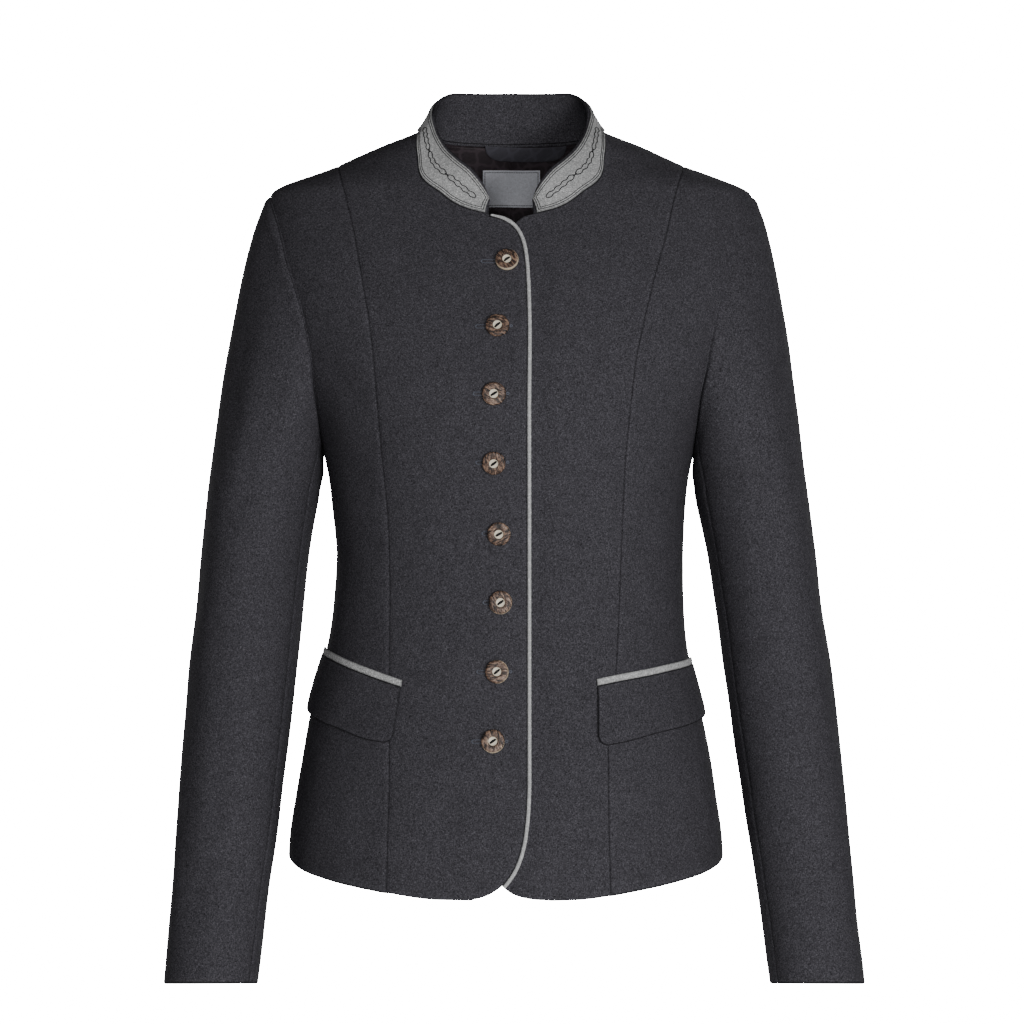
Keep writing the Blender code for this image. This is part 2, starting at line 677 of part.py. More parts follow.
def build_pockets():
    """Felt welts and cloth flaps, made from the body surface moved out."""
    for name, side in SIDES.items():
        rows = POCKETS[name]
        angle = np.radians(np.linspace(rows[0].angle, rows[-1].angle, FLAP_COLUMNS + 1))
        degrees = np.degrees(angle)
        welt = smooth(rows, "angle", "welt_z", degrees)
        hem = smooth(rows, "angle", "flap_z", degrees)
        across = np.stack([side * angle, welt], -1)
        reach = skin(across[:, 0], across[:, 1])
        reach = np.concatenate([[0], np.cumsum(np.linalg.norm(np.diff(reach, axis=0), axis=1))])
        near_end = np.minimum(reach, reach[-1] - reach)
        inside = np.clip(FLAP_CORNER - near_end, 0, FLAP_CORNER)
        hem = hem + FLAP_CORNER - np.sqrt(FLAP_CORNER ** 2 - inside ** 2)
        half = WELT_HEIGHT / 2
        v = np.linspace(0, 1, 2)[:, None]
        z = welt + half - v * 2 * half
        turn = side * np.broadcast_to(angle, z.shape)
        outer = pull_in(body(turn, z, FLAP_STAND_TOP + FELT))
        shell(f"pocket_welt_{name}", outer, outer - skin_normal(turn, z) * FELT, "felt")
        v = np.linspace(0, 1, FLAP_ROWS + 1)[:, None]
        top = welt - half
        z = top + (hem - top) * v
        lean = np.radians(FLAP_LEAN[name]) * v * (1 - ease((degrees - rows[0].angle) / 20))
        turn = side * (angle + lean)
        out = FLAP_STAND_TOP + (FLAP_STAND_HEM - FLAP_STAND_TOP) * v ** 1.3 + 0 * turn
        outer = pull_in(body(turn, z, out + CLOTH))
        shell(f"pocket_flap_{name}", outer, outer - skin_normal(turn, z) * CLOTH, "cloth")


def height_over(tree, centre, normal, spots):
    """How far the cloth under a button stands out past its middle point, at the most."""
    high = []
    for spot in spots:
        hit = tree.ray_cast(Vector((spot + normal * 20) * MM), Vector(-normal), 0.04)[0]
        if hit is not None:
            high.append(float((np.array(hit) / MM - centre) @ normal))
    return max(high)


def build_buttons():
    """Eight turned buttons with a dished middle, each on the highest cloth under it."""
    front = bpy.data.objects["front_right"].data
    tree = BVHTree.FromPolygons([v.co for v in front.vertices], [p.vertices for p in front.polygons])
    turn = np.arange(BUTTON_SIDES) * 2 * np.pi / BUTTON_SIDES
    count = len(BUTTON_PROFILE)
    for number, place in enumerate(BUTTONS, 1):
        angle = angle_at(place.x, place.z)
        centre = skin(angle, place.z)
        normal = skin_normal(angle, place.z)
        across = unit(np.cross((0, 0, 1), normal))
        up = np.cross(normal, across)
        spoke = np.cos(turn)[:, None] * across + np.sin(turn)[:, None] * up
        spots = np.concatenate([centre + spoke * radius for radius in (0, 4.5, BUTTON_PROFILE[1].radius)])
        centre = centre + normal * (height_over(tree, centre, normal, spots) + SEAM_GAP)
        rings = [centre + normal * ring.height + spoke * ring.radius for ring in BUTTON_PROFILE]
        points = np.concatenate(rings + [[centre], [centre + normal * BUTTON_PROFILE[-1].height]])
        index = np.arange(count * BUTTON_SIDES).reshape(count, BUTTON_SIDES)
        after = np.roll(index, -1, axis=1)
        bands = np.concatenate(
            [np.stack([index[:-1], after[:-1], after[1:]], -1).reshape(-1, 3),
             np.stack([index[:-1], after[1:], index[1:]], -1).reshape(-1, 3)]
        )
        base, crown = count * BUTTON_SIDES, count * BUTTON_SIDES + 1
        bottom = np.stack([after[0], index[0], np.full(BUTTON_SIDES, base)], -1)
        dish = np.stack([index[-1], after[-1], np.full(BUTTON_SIDES, crown)], -1)
        faces = np.concatenate([bands, bottom, dish])
        corner = points[faces] - centre
        volume = np.sum(corner[:, 0] * np.cross(corner[:, 1], corner[:, 2]))
        add_object(f"button_{number}", points, faces if volume > 0 else faces[:, ::-1], "horn")


def build_neck_inside():
    """The back neck lining from the back pieces' points, the hanging loop on it and the label."""
    for name, side in SIDES.items():
        grid = back_grid(side)[:LINING_ROWS + 1, LINING_COLUMN:]
        angle, z = grid[..., 0], grid[..., 1]
        outer = pull_in(body(angle, z, -CLOTH - LINING_CLEAR))
        outer[:NECK_ROWS, -1] += unit(outer[:NECK_ROWS, -2] - outer[:NECK_ROWS, -1]) * LINING_DROP
        outer[NECK_ROWS, -1] += unit(outer[NECK_ROWS + 1, -1] - outer[NECK_ROWS, -1]) * LINING_DROP
        shell(f"lining_back_{name}", outer, outer - skin_normal(angle, z) * LINING, "lining")
    under = -CLOTH - LINING_CLEAR - LINING - LABEL_CLEAR
    x = np.linspace(*LABEL_X, 5)
    z = np.linspace(*LABEL_Z, 4)[:, None] + 0 * x
    turn = np.pi - angle_at(x + 0 * z, z)
    cloth_piece("label", np.stack([turn, z], -1), "label", LABEL_THICK, under)
    share = np.linspace(0, 1, 9)
    x = LOOP_X[0] + (LOOP_X[1] - LOOP_X[0]) * share
    z = LOOP_TOP_Z - LOOP_SAG * np.sin(np.pi * share) ** 0.8 - np.linspace(0, LOOP_HEIGHT, 2)[:, None]
    turn = np.pi - angle_at(x + 0 * z, z)
    out = under - LOOP_STAND * np.sin(np.pi * share) + 0 * z
    cloth_piece("hanger_loop", np.stack([turn, z], -1), "lining", LOOP_THICK, out)


def main():
    """Builds the jacket."""
    for old in list(bpy.data.objects):
        bpy.data.objects.remove(old)
    build_fronts()
    build_backs()
    build_sleeves()
    build_collar()
    build_piping()
    build_pockets()
    build_buttons()
    build_neck_inside()


main()
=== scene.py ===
"""Scene: a women's charcoal wool jacket with a felt-faced stand collar, horn buttons and a piped edge.

Lengths in the tables are millimetres, in the part's own frame: the origin lies between the shoulders
at the base of the neck, the front faces -Y and the wearer's left is +X. Every surface is a function
of two parameters worked out on a whole grid at once.
"""
import logging
from dataclasses import dataclass, field
from enum import Enum
from typing import NamedTuple, Sequence

import bpy
import numpy as np
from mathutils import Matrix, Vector


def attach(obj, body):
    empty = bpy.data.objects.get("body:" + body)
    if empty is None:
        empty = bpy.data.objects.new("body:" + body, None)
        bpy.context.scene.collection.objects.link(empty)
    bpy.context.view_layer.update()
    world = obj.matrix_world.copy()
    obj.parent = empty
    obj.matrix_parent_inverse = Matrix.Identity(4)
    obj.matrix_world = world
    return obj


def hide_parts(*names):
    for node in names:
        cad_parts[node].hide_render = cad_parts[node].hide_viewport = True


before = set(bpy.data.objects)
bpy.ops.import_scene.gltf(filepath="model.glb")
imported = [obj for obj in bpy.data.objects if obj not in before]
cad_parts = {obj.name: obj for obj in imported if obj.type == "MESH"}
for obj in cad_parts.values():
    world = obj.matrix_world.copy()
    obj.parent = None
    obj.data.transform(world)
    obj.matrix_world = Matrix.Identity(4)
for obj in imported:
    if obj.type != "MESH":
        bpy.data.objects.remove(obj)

LOG = logging.getLogger("jacket")
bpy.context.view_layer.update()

MM = 0.001
Array = np.ndarray
Socket = bpy.types.NodeSocket
Material = bpy.types.Material
Piece = bpy.types.Object
Triple = tuple[float, float, float]

CLOTH = 2.0
COLLAR_CLOTH = 3.0
FELT = 1.5
LINING = 1.0
LAP = 3.2
LAP_EASE = 22.0
PIPING_RADIUS = 1.5
PIPING_SINK = 0.6
SEAM_GAP = 0.3

SHOULDER_SEAM_Z = -27.5
SHOULDER_TIP_Z = -51.0
UNDERARM_Z = -251.0
BICEP_Z = -290.0
CUFF_Z = -675.5
CUFF_TILT = 0.14
SIDE_SEAM_SWING = 0.11

ARM_ROWS = 72
NECK_ROWS = 36
SIDE_ROWS = 84
CENTRE_COLUMNS = 44
SIDE_COLUMNS = 32
CAP_ROWS = 40
SLEEVE_ROWS = 84
FRONT_SEAM_STEP = 60
BACK_SEAM_STEP = -48
EDGE_STEPS = (0.12, 0.3, 0.6)


class Side(Enum):
    """The wearer's sides, by the sign of x."""

    RIGHT = -1
    LEFT = 1

    @property
    def word(self) -> str:
        """The side's word in piece names."""
        return self.name.lower()


class Area(Enum):
    """The surfaces that creases lie on, with the millimetres to one unit across each."""

    FRONT = ("front", 1.0)
    BACK = ("back", 1.0)
    SLEEVE_RIGHT = ("right sleeve", 0.75)
    SLEEVE_LEFT = ("left sleeve", 0.75)


class Ring(NamedTuple):
    """One ring of the body surface."""

    z: float
    half_width: float
    front: float
    back: float
    squareness: float
    shift: float


class Turn(NamedTuple):
    """A height at an angle from the centre front, in degrees."""

    angle: float
    z: float


class Princess(NamedTuple):
    """Distances of the princess seams from the centre line at a height."""

    z: float
    right: float
    left: float
    back: float


class Armhole(NamedTuple):
    """Distances of the armhole's halves from the centre line at a height."""

    z: float
    front: float
    back: float


class Edge(NamedTuple):
    """A point of a front's edge."""

    x: float
    z: float


class SleeveRing(NamedTuple):
    """One ring of a sleeve."""

    z: float
    centre: float
    half_width: float
    forward: float
    half_depth: float
    lean: float


class PocketRow(NamedTuple):
    """Heights of a welt and of its flap's hem at an angle in degrees."""

    angle: float
    welt_z: float
    flap_z: float


class Crease(NamedTuple):
    """A soft trough (negative depth) or ridge from one place to another.

    On the body a place is (x, z). On a sleeve it is (turn in degrees, z): 0 is outside and 90 in front.
    """

    from_x: float
    from_z: float
    to_x: float
    to_z: float
    width: float
    depth: float


class Stop(NamedTuple):
    """A value pair at a share of a line's length."""

    s: float
    x: float
    z: float


RINGS = (
    Ring(6, 62, 42, 43, 2.0, 0),
    Ring(0, 73.5, 46, 49, 2.0, 0),
    Ring(-10, 98, 52, 55, 2.0, 0),
    Ring(-27.5, 138, 59, 66, 2.0, 0),
    Ring(-51, 192, 73, 80, 2.0, 0),
    Ring(-80, 198, 88, 93, 2.1, 0),
    Ring(-110, 200, 103, 103, 2.15, 0),
    Ring(-150, 191, 119, 110, 2.2, -1),
    Ring(-190, 175, 130, 112, 2.2, -1),
    Ring(-212, 164, 133, 111, 2.2, -2),
    Ring(-234, 154.5, 132, 109, 2.2, -2),
    Ring(-251, 149, 131, 106, 2.2, -2),
    Ring(-290, 142, 121, 99, 2.2, -2),
    Ring(-338, 138.4, 113, 92, 2.2, -1),
    Ring(-380, 140, 113, 94, 2.2, -2),
    Ring(-406, 143, 116, 99, 2.2, -3),
    Ring(-440, 151, 120, 107, 2.2, -4),
    Ring(-480, 159.5, 126, 116, 2.2, -4),
    Ring(-530, 168, 133, 125, 2.2, -4),
    Ring(-566, 172.8, 137, 129, 2.2, -4),
    Ring(-604, 174.5, 140, 132, 2.2, -4),
)
NECK_FRONT = (
    Turn(90, 0), Turn(68.5, -2), Turn(59.5, -5), Turn(48.3, -10.6), Turn(36.5, -21.3), Turn(27.6, -34.3),
    Turn(22, -44.3), Turn(17, -54), Turn(13.4, -62.4), Turn(9.8, -68.1), Turn(4.7, -72.8),
)
NECK_BACK = (Turn(90, 0), Turn(120, -1.5), Turn(150, -4), Turn(180, -5))
HEM = (
    Turn(0, -601), Turn(15, -600), Turn(31, -594.5), Turn(45, -590),
    Turn(60, -585.5), Turn(75, -581), Turn(90, -576.5), Turn(180, -584),
)
PRINCESS = (
    Princess(-27.5, 138, 138, 138),
    Princess(-55, 130, 129, 127),
    Princess(-88, 122, 121, 114),
    Princess(-127, 115, 110, 105),
    Princess(-160, 109, 102, 99),
    Princess(-190, 105.5, 96, 95),
    Princess(-230, 102.5, 91.5, 90),
    Princess(-259, 100, 89, 87),
    Princess(-300, 96, 87, 82),
    Princess(-365, 94, 84.5, 80),
    Princess(-420, 94, 81.7, 84),
    Princess(-485, 93.7, 75, 90),
    Princess(-520, 94.2, 75, 93),
    Princess(-604, 95.5, 76.6, 98),
)
ARMHOLE = (
    Armhole(-51, 192, 192), Armhole(-60, 190, 191), Armhole(-81, 183, 187),
    Armhole(-111, 175, 180), Armhole(-150, 162, 170), Armhole(-190, 154, 160),
    Armhole(-212, 151.4, 155), Armhole(-234, 149.5, 151), Armhole(-251, 149, 149),
)
RIGHT_EDGE = (
    Edge(-17.5, -72.8), Edge(-7.6, -75.2), Edge(-1.2, -78.3), Edge(3.5, -82.4), Edge(7.2, -88),
    Edge(9.6, -94), Edge(11.4, -102), Edge(12.6, -112), Edge(13.4, -124), Edge(14, -140),
    Edge(14.4, -165), Edge(14, -227), Edge(14.2, -352), Edge(14.2, -509), Edge(13.5, -530),
    Edge(11.8, -548), Edge(9.4, -561), Edge(4.6, -574.7), Edge(-1, -584), Edge(-7.4, -591),
    Edge(-19.5, -598), Edge(-31, -601),
)
LEFT_EDGE = (
    Edge(17.5, -72.8), Edge(9, -75), Edge(3, -78.5), Edge(-3.5, -84), Edge(-10, -93),
    Edge(-15, -106), Edge(-18, -124), Edge(-20, -145), Edge(-21, -227), Edge(-22, -352),
    Edge(-24, -509), Edge(-23, -540), Edge(-19, -563), Edge(-13, -578), Edge(-6.5, -588.5),
    Edge(4, -595.5), Edge(18, -598.6), Edge(32, -599.6),
)
SLEEVE = (
    SleeveRing(-290, 197.2, 42.8, 2, 62, -2.8),
    SleeveRing(-358, 205, 43, 0, 58, -1.8),
    SleeveRing(-422, 212.8, 43.2, 3, 54, -0.6),
    SleeveRing(-486, 219.6, 42.1, 9, 50.5, 0.4),
    SleeveRing(-550, 226.2, 40.5, 17, 47, 1.2),
    SleeveRing(-614, 233.2, 38.2, 26, 44, 1.8),
    SleeveRing(-679, 239.6, 37.1, 36.6, 41.9, 2.4),
)
COLLAR_TOP = (
    Turn(15.5, -61), Turn(17, -55.5), Turn(20, -49), Turn(23.5, -43.5), Turn(30, -35.5),
    Turn(40.5, -27.6), Turn(52, -19), Turn(62.5, -9.6), Turn(72, -0.8), Turn(80, 8.5),
    Turn(88, 16.5), Turn(102, 25), Turn(117, 31), Turn(131, 34.5), Turn(180, 36),
)
BUTTONS = (
    Edge(-3.1, -110.8), Edge(-10.3, -162.0), Edge(-12.9, -213.9),
    Edge(-13.0, -266.2), Edge(-9.2, -320.5), Edge(-8.0, -373.4),
    Edge(-10.7, -426.5), Edge(-13.7, -479.3),
)
POCKETS = {
    Side.RIGHT: (
        PocketRow(29.9, -436, -482.5), PocketRow(39, -430.5, -480), PocketRow(52.6, -423.5, -472.5),
        PocketRow(70, -417, -466), PocketRow(86, -414, -460),
    ),
    Side.LEFT: (
        PocketRow(25.5, -435, -484.5), PocketRow(33, -432, -481.5), PocketRow(45, -428.5, -475.5),
        PocketRow(60, -425, -471.5), PocketRow(83, -422, -465),
    ),
}

CREASES = {
    Area.FRONT: (
        Crease(-47, -60, -12, -92, 5, -1.0), Crease(-62, -70, -20, -104, 7, 0.7),
        Crease(52, -62, 30, -108, 7, -0.8), Crease(118, -92, 84, -150, 9, -0.9),
        Crease(-128, -95, -96, -170, 10, -0.9), Crease(-146, -190, -112, -222, 8, -1.3),
        Crease(140, -196, 104, -226, 8, -1.2), Crease(-138, -262, -104, -290, 9, -0.9),
        Crease(-134, -318, -98, -330, 7, -1.2), Crease(-132, -344, -90, -347, 6, 0.8),
        Crease(134, -322, 96, -334, 7, -1.1), Crease(130, -352, 88, -356, 7, -0.9),
        Crease(-60, -322, -26, -330, 9, -0.7), Crease(34, -338, 74, -332, 9, -0.8),
        Crease(22, -120, 17, -210, 6, -0.7), Crease(21, -300, 18, -470, 5, -0.6),
        Crease(-30, -118, -34, -196, 9, -0.5), Crease(-44, -500, -60, -596, 14, -1.4),
        Crease(-104, -500, -118, -588, 13, -1.5), Crease(48, -498, 54, -598, 14, -1.3),
        Crease(112, -496, 130, -586, 13, -1.5), Crease(148, -470, 160, -582, 10, 1.1),
        Crease(-150, -478, -160, -580, 10, 1.0),
    ),
    Area.BACK: (
        Crease(-60, -30, -118, -96, 9, -0.9), Crease(64, -34, 112, -104, 9, -0.8),
        Crease(-142, -180, -98, -226, 9, -1.2), Crease(140, -174, 102, -230, 9, -1.3),
        Crease(-118, -300, -40, -322, 8, -1.3), Crease(112, -306, 34, -330, 8, -1.2),
        Crease(-102, -338, -26, -344, 7, -1.0), Crease(22, -356, 104, -350, 8, -1.1),
        Crease(-126, -284, -90, -270, 8, 0.8), Crease(-44, -430, -52, -582, 14, -1.6),
        Crease(48, -420, 58, -582, 14, -1.5), Crease(-112, -440, -128, -580, 12, -1.3),
        Crease(116, -450, 126, -580, 12, -1.4),
    ),
    Area.SLEEVE_RIGHT: (
        Crease(40, -150, 52, -262, 11, -1.5), Crease(92, -196, 74, -300, 9, -1.3),
        Crease(118, -258, 58, -318, 9, -1.2), Crease(132, -392, 64, -376, 8, -1.5),
        Crease(126, -414, 48, -428, 8, -1.3), Crease(20, -330, 34, -480, 12, -1.2),
        Crease(88, -470, 70, -640, 12, -1.4), Crease(18, -520, 40, -650, 10, 0.9),
        Crease(-40, -160, -62, -280, 12, -1.4), Crease(-130, -240, -70, -300, 9, -1.4),
        Crease(-92, -372, -20, -398, 9, -1.5), Crease(-100, -420, -30, -416, 8, -1.2),
    ),
    Area.SLEEVE_LEFT: (
        Crease(36, -140, 50, -270, 11, -1.4), Crease(96, -204, 70, -306, 9, -1.4),
        Crease(120, -276, 66, -330, 9, -1.1), Crease(130, -404, 58, -390, 8, -1.4),
        Crease(122, -436, 60, -424, 8, -1.3), Crease(14, -350, 30, -500, 12, -1.1),
        Crease(82, -490, 68, -646, 12, -1.3), Crease(24, -540, 44, -655, 10, 0.9),
        Crease(-44, -150, -58, -290, 12, -1.3), Crease(-126, -252, -64, -310, 9, -1.4),
        Crease(-96, -380, -24, -408, 9, -1.4), Crease(-104, -432, -36, -430, 8, -1.1),
    ),
}
UNEVEN_WAVES = 6
UNEVEN_SEED = 41
UNEVEN_HEIGHT = 0.32
SEAM_DIP = 0.55
SEAM_REACH = 2.0


def column(table: Sequence[NamedTuple], key: str) -> Array:
    """One column of a table as an array."""
    return np.array([getattr(row, key) for row in table], float)


def smooth(table: Sequence[NamedTuple], key: str, value: str, at: Array) -> Array:
    """Monotone cubic curve of one column against another, held past its ends.

    Args:
        table: rows with the named columns.
        key: column that the curve runs along.
        value: column that the curve passes through.
        at: places along the key.

    Returns:
        Values of the curve. In words: between two rows, the cubic that leaves and lands with the
        harmonic mean of the neighbouring slopes.
    """
    knots, values = column(table, key), column(table, value)
    order = np.argsort(knots)
    knots, values = knots[order], values[order]
    steps = np.diff(knots)
    rise = np.diff(values) / steps
    slope = np.zeros_like(values)
    slope[0], slope[-1] = rise[0], rise[-1]
    same = rise[:-1] * rise[1:] > 0
    before, after = rise[:-1][same], rise[1:][same]
    slope[1:-1][same] = 2 * before * after / (before + after)
    at = np.clip(at, knots[0], knots[-1])
    k = np.clip(np.searchsorted(knots, at, side="right") - 1, 0, len(knots) - 2)
    h = steps[k]
    s = (at - knots[k]) / h
    return (
        (1 + 2 * s) * (1 - s) ** 2 * values[k] + s * (1 - s) ** 2 * h * slope[k]
        + s * s * (3 - 2 * s) * values[k + 1] + s * s * (s - 1) * h * slope[k + 1]
    )


def ease(t: Array) -> Array:
    """Smooth step from 0 to 1: three t squared less two t cubed."""
    t = np.clip(t, 0, 1)
    return t * t * (3 - 2 * t)


def unit(vectors: Array) -> Array:
    """Vectors scaled to length 1."""
    return vectors / np.maximum(np.linalg.norm(vectors, axis=-1, keepdims=True), 1e-9)


def run_length(line: Array) -> Array:
    """Length along a line of points, from its start."""
    return np.concatenate([[0], np.cumsum(np.linalg.norm(np.diff(line, axis=0), axis=-1))])


def skin(angle: Array, z: Array) -> Array:
    """Body surface.

    Args:
        angle: turn from the centre front, in radians.
        z: heights.

    Returns:
        Points of the superellipse ring at each height, with its own depth in front and behind.
    """
    angle, z = np.broadcast_arrays(np.asarray(angle, float), np.asarray(z, float))
    width, front, back, square, shift = (smooth(RINGS, "z", k, z) for k in Ring._fields[1:])
    sine, cosine = np.sin(angle), np.cos(angle)
    x = shift + width * np.sign(sine) * np.abs(sine) ** (2 / square)
    depth = np.where(cosine > 0, front, back)
    y = -depth * np.sign(cosine) * np.abs(cosine) ** (2 / square)
    return np.stack([x, y, z], -1)


def skin_normal(angle: Array, z: Array) -> Array:
    """Outward normals of the body surface, from small steps across and up.

    Args:
        angle: turn from the centre front, in radians.
        z: heights.

    Returns:
        Unit vectors.
    """
    across = skin(angle + 1e-3, z) - skin(angle - 1e-3, z)
    up = skin(angle, z + 0.05) - skin(angle, z - 0.05)
    return unit(np.cross(across, up))


def angle_at(x: Array, z: Array) -> Array:
    """Angle on the front half of the ring at height z whose point has this x.

    Args:
        x: places across.
        z: heights.

    Returns:
        Angles in radians.
    """
    width, square, shift = (smooth(RINGS, "z", k, z) for k in ("half_width", "squareness", "shift"))
    ratio = np.clip(np.abs(x - shift) / width, 0, 1)
    return np.sign(x - shift) * np.arcsin(ratio ** (square / 2))


def crease_relief(across: Array, z: Array, area: Area) -> Array:
    """Height of the listed creases.

    Args:
        across: place across the surface, in the creases' own unit.
        z: heights.
        area: the area whose creases count.

    Returns:
        The sum, over the creases, of depth times a bell of the distance from the crease's line, which
        fades towards the line's two ends.
    """
    scale = area.value[1]
    across = across * scale
    total = np.zeros(np.broadcast(across, z).shape)
    for crease in CREASES[area]:
        start = np.array([crease.from_x * scale, crease.from_z])
        run = np.array([crease.to_x * scale, crease.to_z]) - start
        length = np.hypot(*run)
        along_run = ((across - start[0]) * run[0] + (z - start[1]) * run[1]) / length
        off = ((across - start[0]) * run[1] - (z - start[1]) * run[0]) / length
        off = off + 0.12 * crease.width * np.sin(along_run / crease.width)
        fade = ease((along_run / length + 0.12) / 0.4) * ease((1.12 - along_run / length) / 0.4)
        total += crease.depth * np.exp(-(off / crease.width) ** 2) * fade
    return total


def unevenness(place: Array) -> Array:
    """A slight waviness of the cloth: the mean of a few seeded plane waves through space.

    Args:
        place: points of the cloth.

    Returns:
        Heights of the waves.
    """
    rng = np.random.default_rng(UNEVEN_SEED)
    total = np.zeros(place.shape[:-1])
    for _ in range(UNEVEN_WAVES):
        direction = rng.normal(size=3)
        direction *= 2 * np.pi / rng.uniform(28, 90) / np.linalg.norm(direction)
        total += np.sin(place @ direction + rng.uniform(0, 6.28))
    return UNEVEN_HEIGHT * total / UNEVEN_WAVES * 2


def body_relief(angle: Array, z: Array) -> Array:
    """How far the body's cloth stands off its plain surface: creases and waviness, none at the neckline.

    Args:
        angle: turn from the centre front, in radians.
        z: heights.

    Returns:
        Distances off the plain surface.
    """
    place = skin(angle, z)
    front = np.cos(angle) > 0
    relief = np.where(front, *(crease_relief(place[..., 0], z, area) for area in (Area.FRONT, Area.BACK)))
    side_fade = ease(np.abs(np.cos(angle)) / 0.35)
    neck_fade = ease((-z - 62) / 60) if np.ndim(z) else float(ease((-z - 62) / 60))
    neck_fade = np.where(np.abs(place[..., 0]) > 90, 1.0, neck_fade)
    neck_fade = np.where(front, neck_fade, ease((-z - 8) / 40))
    return (relief * side_fade + unevenness(place)) * neck_fade


def body(angle: Array, z: Array, out: Array | float = 0.0) -> Array:
    """Points of the draped body surface moved out along its normals."""
    lift = body_relief(angle, z) + out
    return skin(angle, z) + skin_normal(angle, z) * lift[..., None]


def hem_z(angle: Array) -> Array:
    """Height of the hem at an angle."""
    return smooth(HEM, "angle", "z", np.abs(np.degrees(angle)))


def along(table: Sequence[NamedTuple], stops: Array) -> Array:
    """Points (x, z) at shares of the length of a smooth curve through a table's rows.

    Args:
        table: the line's rows.
        stops: shares of its length.

    Returns:
        Points (x, z).
    """
    x, z = column(table, "x"), column(table, "z")
    reach = run_length(np.stack([x, z], -1))
    rows = [Stop(*values) for values in zip(reach / reach[-1], x, z)]
    return np.stack([smooth(rows, "s", "x", stops), smooth(rows, "s", "z", stops)], -1)


def lower_steps() -> Array:
    """Shares from the underarm to the hem, closer together towards the hem."""
    t = np.linspace(0, 1, SIDE_ROWS + 1)
    return t + 0.1 * np.sin(np.pi * t)


def front_edge(table: Sequence[Edge], inset: float) -> Array:
    """A front's edge below the neckline.

    Args:
        table: the edge's points.
        inset: how far it moves across its own direction.

    Returns:
        (angle, z) with one point for each row of the front below its neckline.
    """
    dense = along(table, np.linspace(0, 1, 400))
    reach = run_length(dense)
    split = reach[np.argmax(dense[:, 1] <= UNDERARM_Z)] / reach[-1]
    upper = split * np.linspace(0, 1, ARM_ROWS - NECK_ROWS + 1) ** 1.35
    stops = np.concatenate([upper, (split + (1 - split) * lower_steps())[1:]])
    edge = along(table, stops)
    ahead = unit(along(table, np.clip(stops + 0.002, 0, 1)) - along(table, np.clip(stops - 0.002, 0, 1)))
    edge = edge + inset * np.stack([ahead[:, 1], -ahead[:, 0]], -1)
    return np.stack([angle_at(edge[:, 0], edge[:, 1]), edge[:, 1]], -1)


def princess(side: Side, key: str) -> Array:
    """A princess seam as (angle, z), from the shoulder seam to the hem; key is its column.

    Args:
        side: the wearer's side.
        key: the column of its distances.

    Returns:
        (angle, z), from the shoulder seam to the hem.
    """
    sign = side.value
    bottom = -590.0
    for _ in range(4):
        angle = angle_at(sign * smooth(PRINCESS, "z", key, bottom), bottom)
        bottom = float(hem_z(np.pi - abs(angle) if key == "back" else angle))
    t = np.linspace(0, 1, ARM_ROWS + 1) ** 1.4
    upper = SHOULDER_SEAM_Z + (UNDERARM_Z - SHOULDER_SEAM_Z) * t
    z = np.concatenate([upper, (UNDERARM_Z + (bottom - UNDERARM_Z) * lower_steps())[1:]])
    reach = angle_at(sign * smooth(PRINCESS, "z", key, z), z)
    reach[0] = sign * np.pi / 2
    if key == "back":
        reach = sign * (np.pi - np.abs(reach))
    return np.stack([reach, z], -1)


def armhole(side: Side, key: str) -> Array:
    """Half of an armhole as (angle, z), from the shoulder tip to the underarm; key is front or back.

    Args:
        side: the wearer's side.
        key: front or back.

    Returns:
        (angle, z), from the shoulder tip to the underarm.
    """
    sign = side.value
    t = np.linspace(0, 1, ARM_ROWS + 1)
    z = SHOULDER_TIP_Z + (UNDERARM_Z - SHOULDER_TIP_Z) * (1 - np.cos(np.pi * t)) / 2
    reach = angle_at(sign * smooth(ARMHOLE, "z", key, z) + smooth(RINGS, "z", "shift", z), z)
    reach[0] = reach[-1] = sign * np.pi / 2
    if key == "back":
        reach = sign * (np.pi - np.abs(reach))
    return np.stack([reach, z], -1)


def side_seam(side: Side, key: str) -> Array:
    """Armhole half and side seam in one line, which runs a little back towards the hem.

    Args:
        side: the wearer's side.
        key: front or back.

    Returns:
        (angle, z), from the shoulder tip to the hem.
    """
    steps = lower_steps()[1:]
    angle = side.value * (np.pi / 2 + SIDE_SEAM_SWING * steps)
    bottom = hem_z(side.value * (np.pi / 2 + SIDE_SEAM_SWING))
    lower = np.stack([angle, UNDERARM_Z + (bottom - UNDERARM_Z) * steps], -1)
    return np.concatenate([armhole(side, key), lower])


def shoulder(side: Side, first: float, last: float, columns: int) -> Array:
    """Part of the shoulder seam as (angle, z)."""
    z = np.linspace(first, last, columns + 1)
    return np.stack([np.full_like(z, side.value * np.pi / 2), z], -1)


def neckline(side: Side, table: Sequence[Turn], columns: int) -> Array:
    """Half of the neckline as (angle, z), from the neck point, at even steps of its length.

    Args:
        side: the wearer's side.
        table: the line's rows.
        columns: number of steps.

    Returns:
        (angle, z), from the neck point.
    """
    angle, z = column(table, "angle"), column(table, "z")
    reach = run_length(skin(np.radians(angle), z))
    rows = [Stop(*values) for values in zip(reach / reach[-1], angle, z)]
    stops = np.linspace(0, 1, columns + 1)
    turn = side.value * np.radians(smooth(rows, "s", "x", stops))
    return np.stack([turn, smooth(rows, "s", "z", stops)], -1)


def hem_line(first: Array, last: Array, columns: int) -> Array:
    """The hem between two corners, bent to meet both.

    Args:
        first: one corner as (angle, z).
        last: the other corner.
        columns: number of steps.

    Returns:
        (angle, z) of its points.
    """
    t = np.linspace(0, 1, columns + 1)
    angle = first[0] + (last[0] - first[0]) * t
    z = hem_z(angle)
    return np.stack([angle, z + (first[1] - z[0]) * (1 - t) + (last[1] - z[-1]) * t], -1)


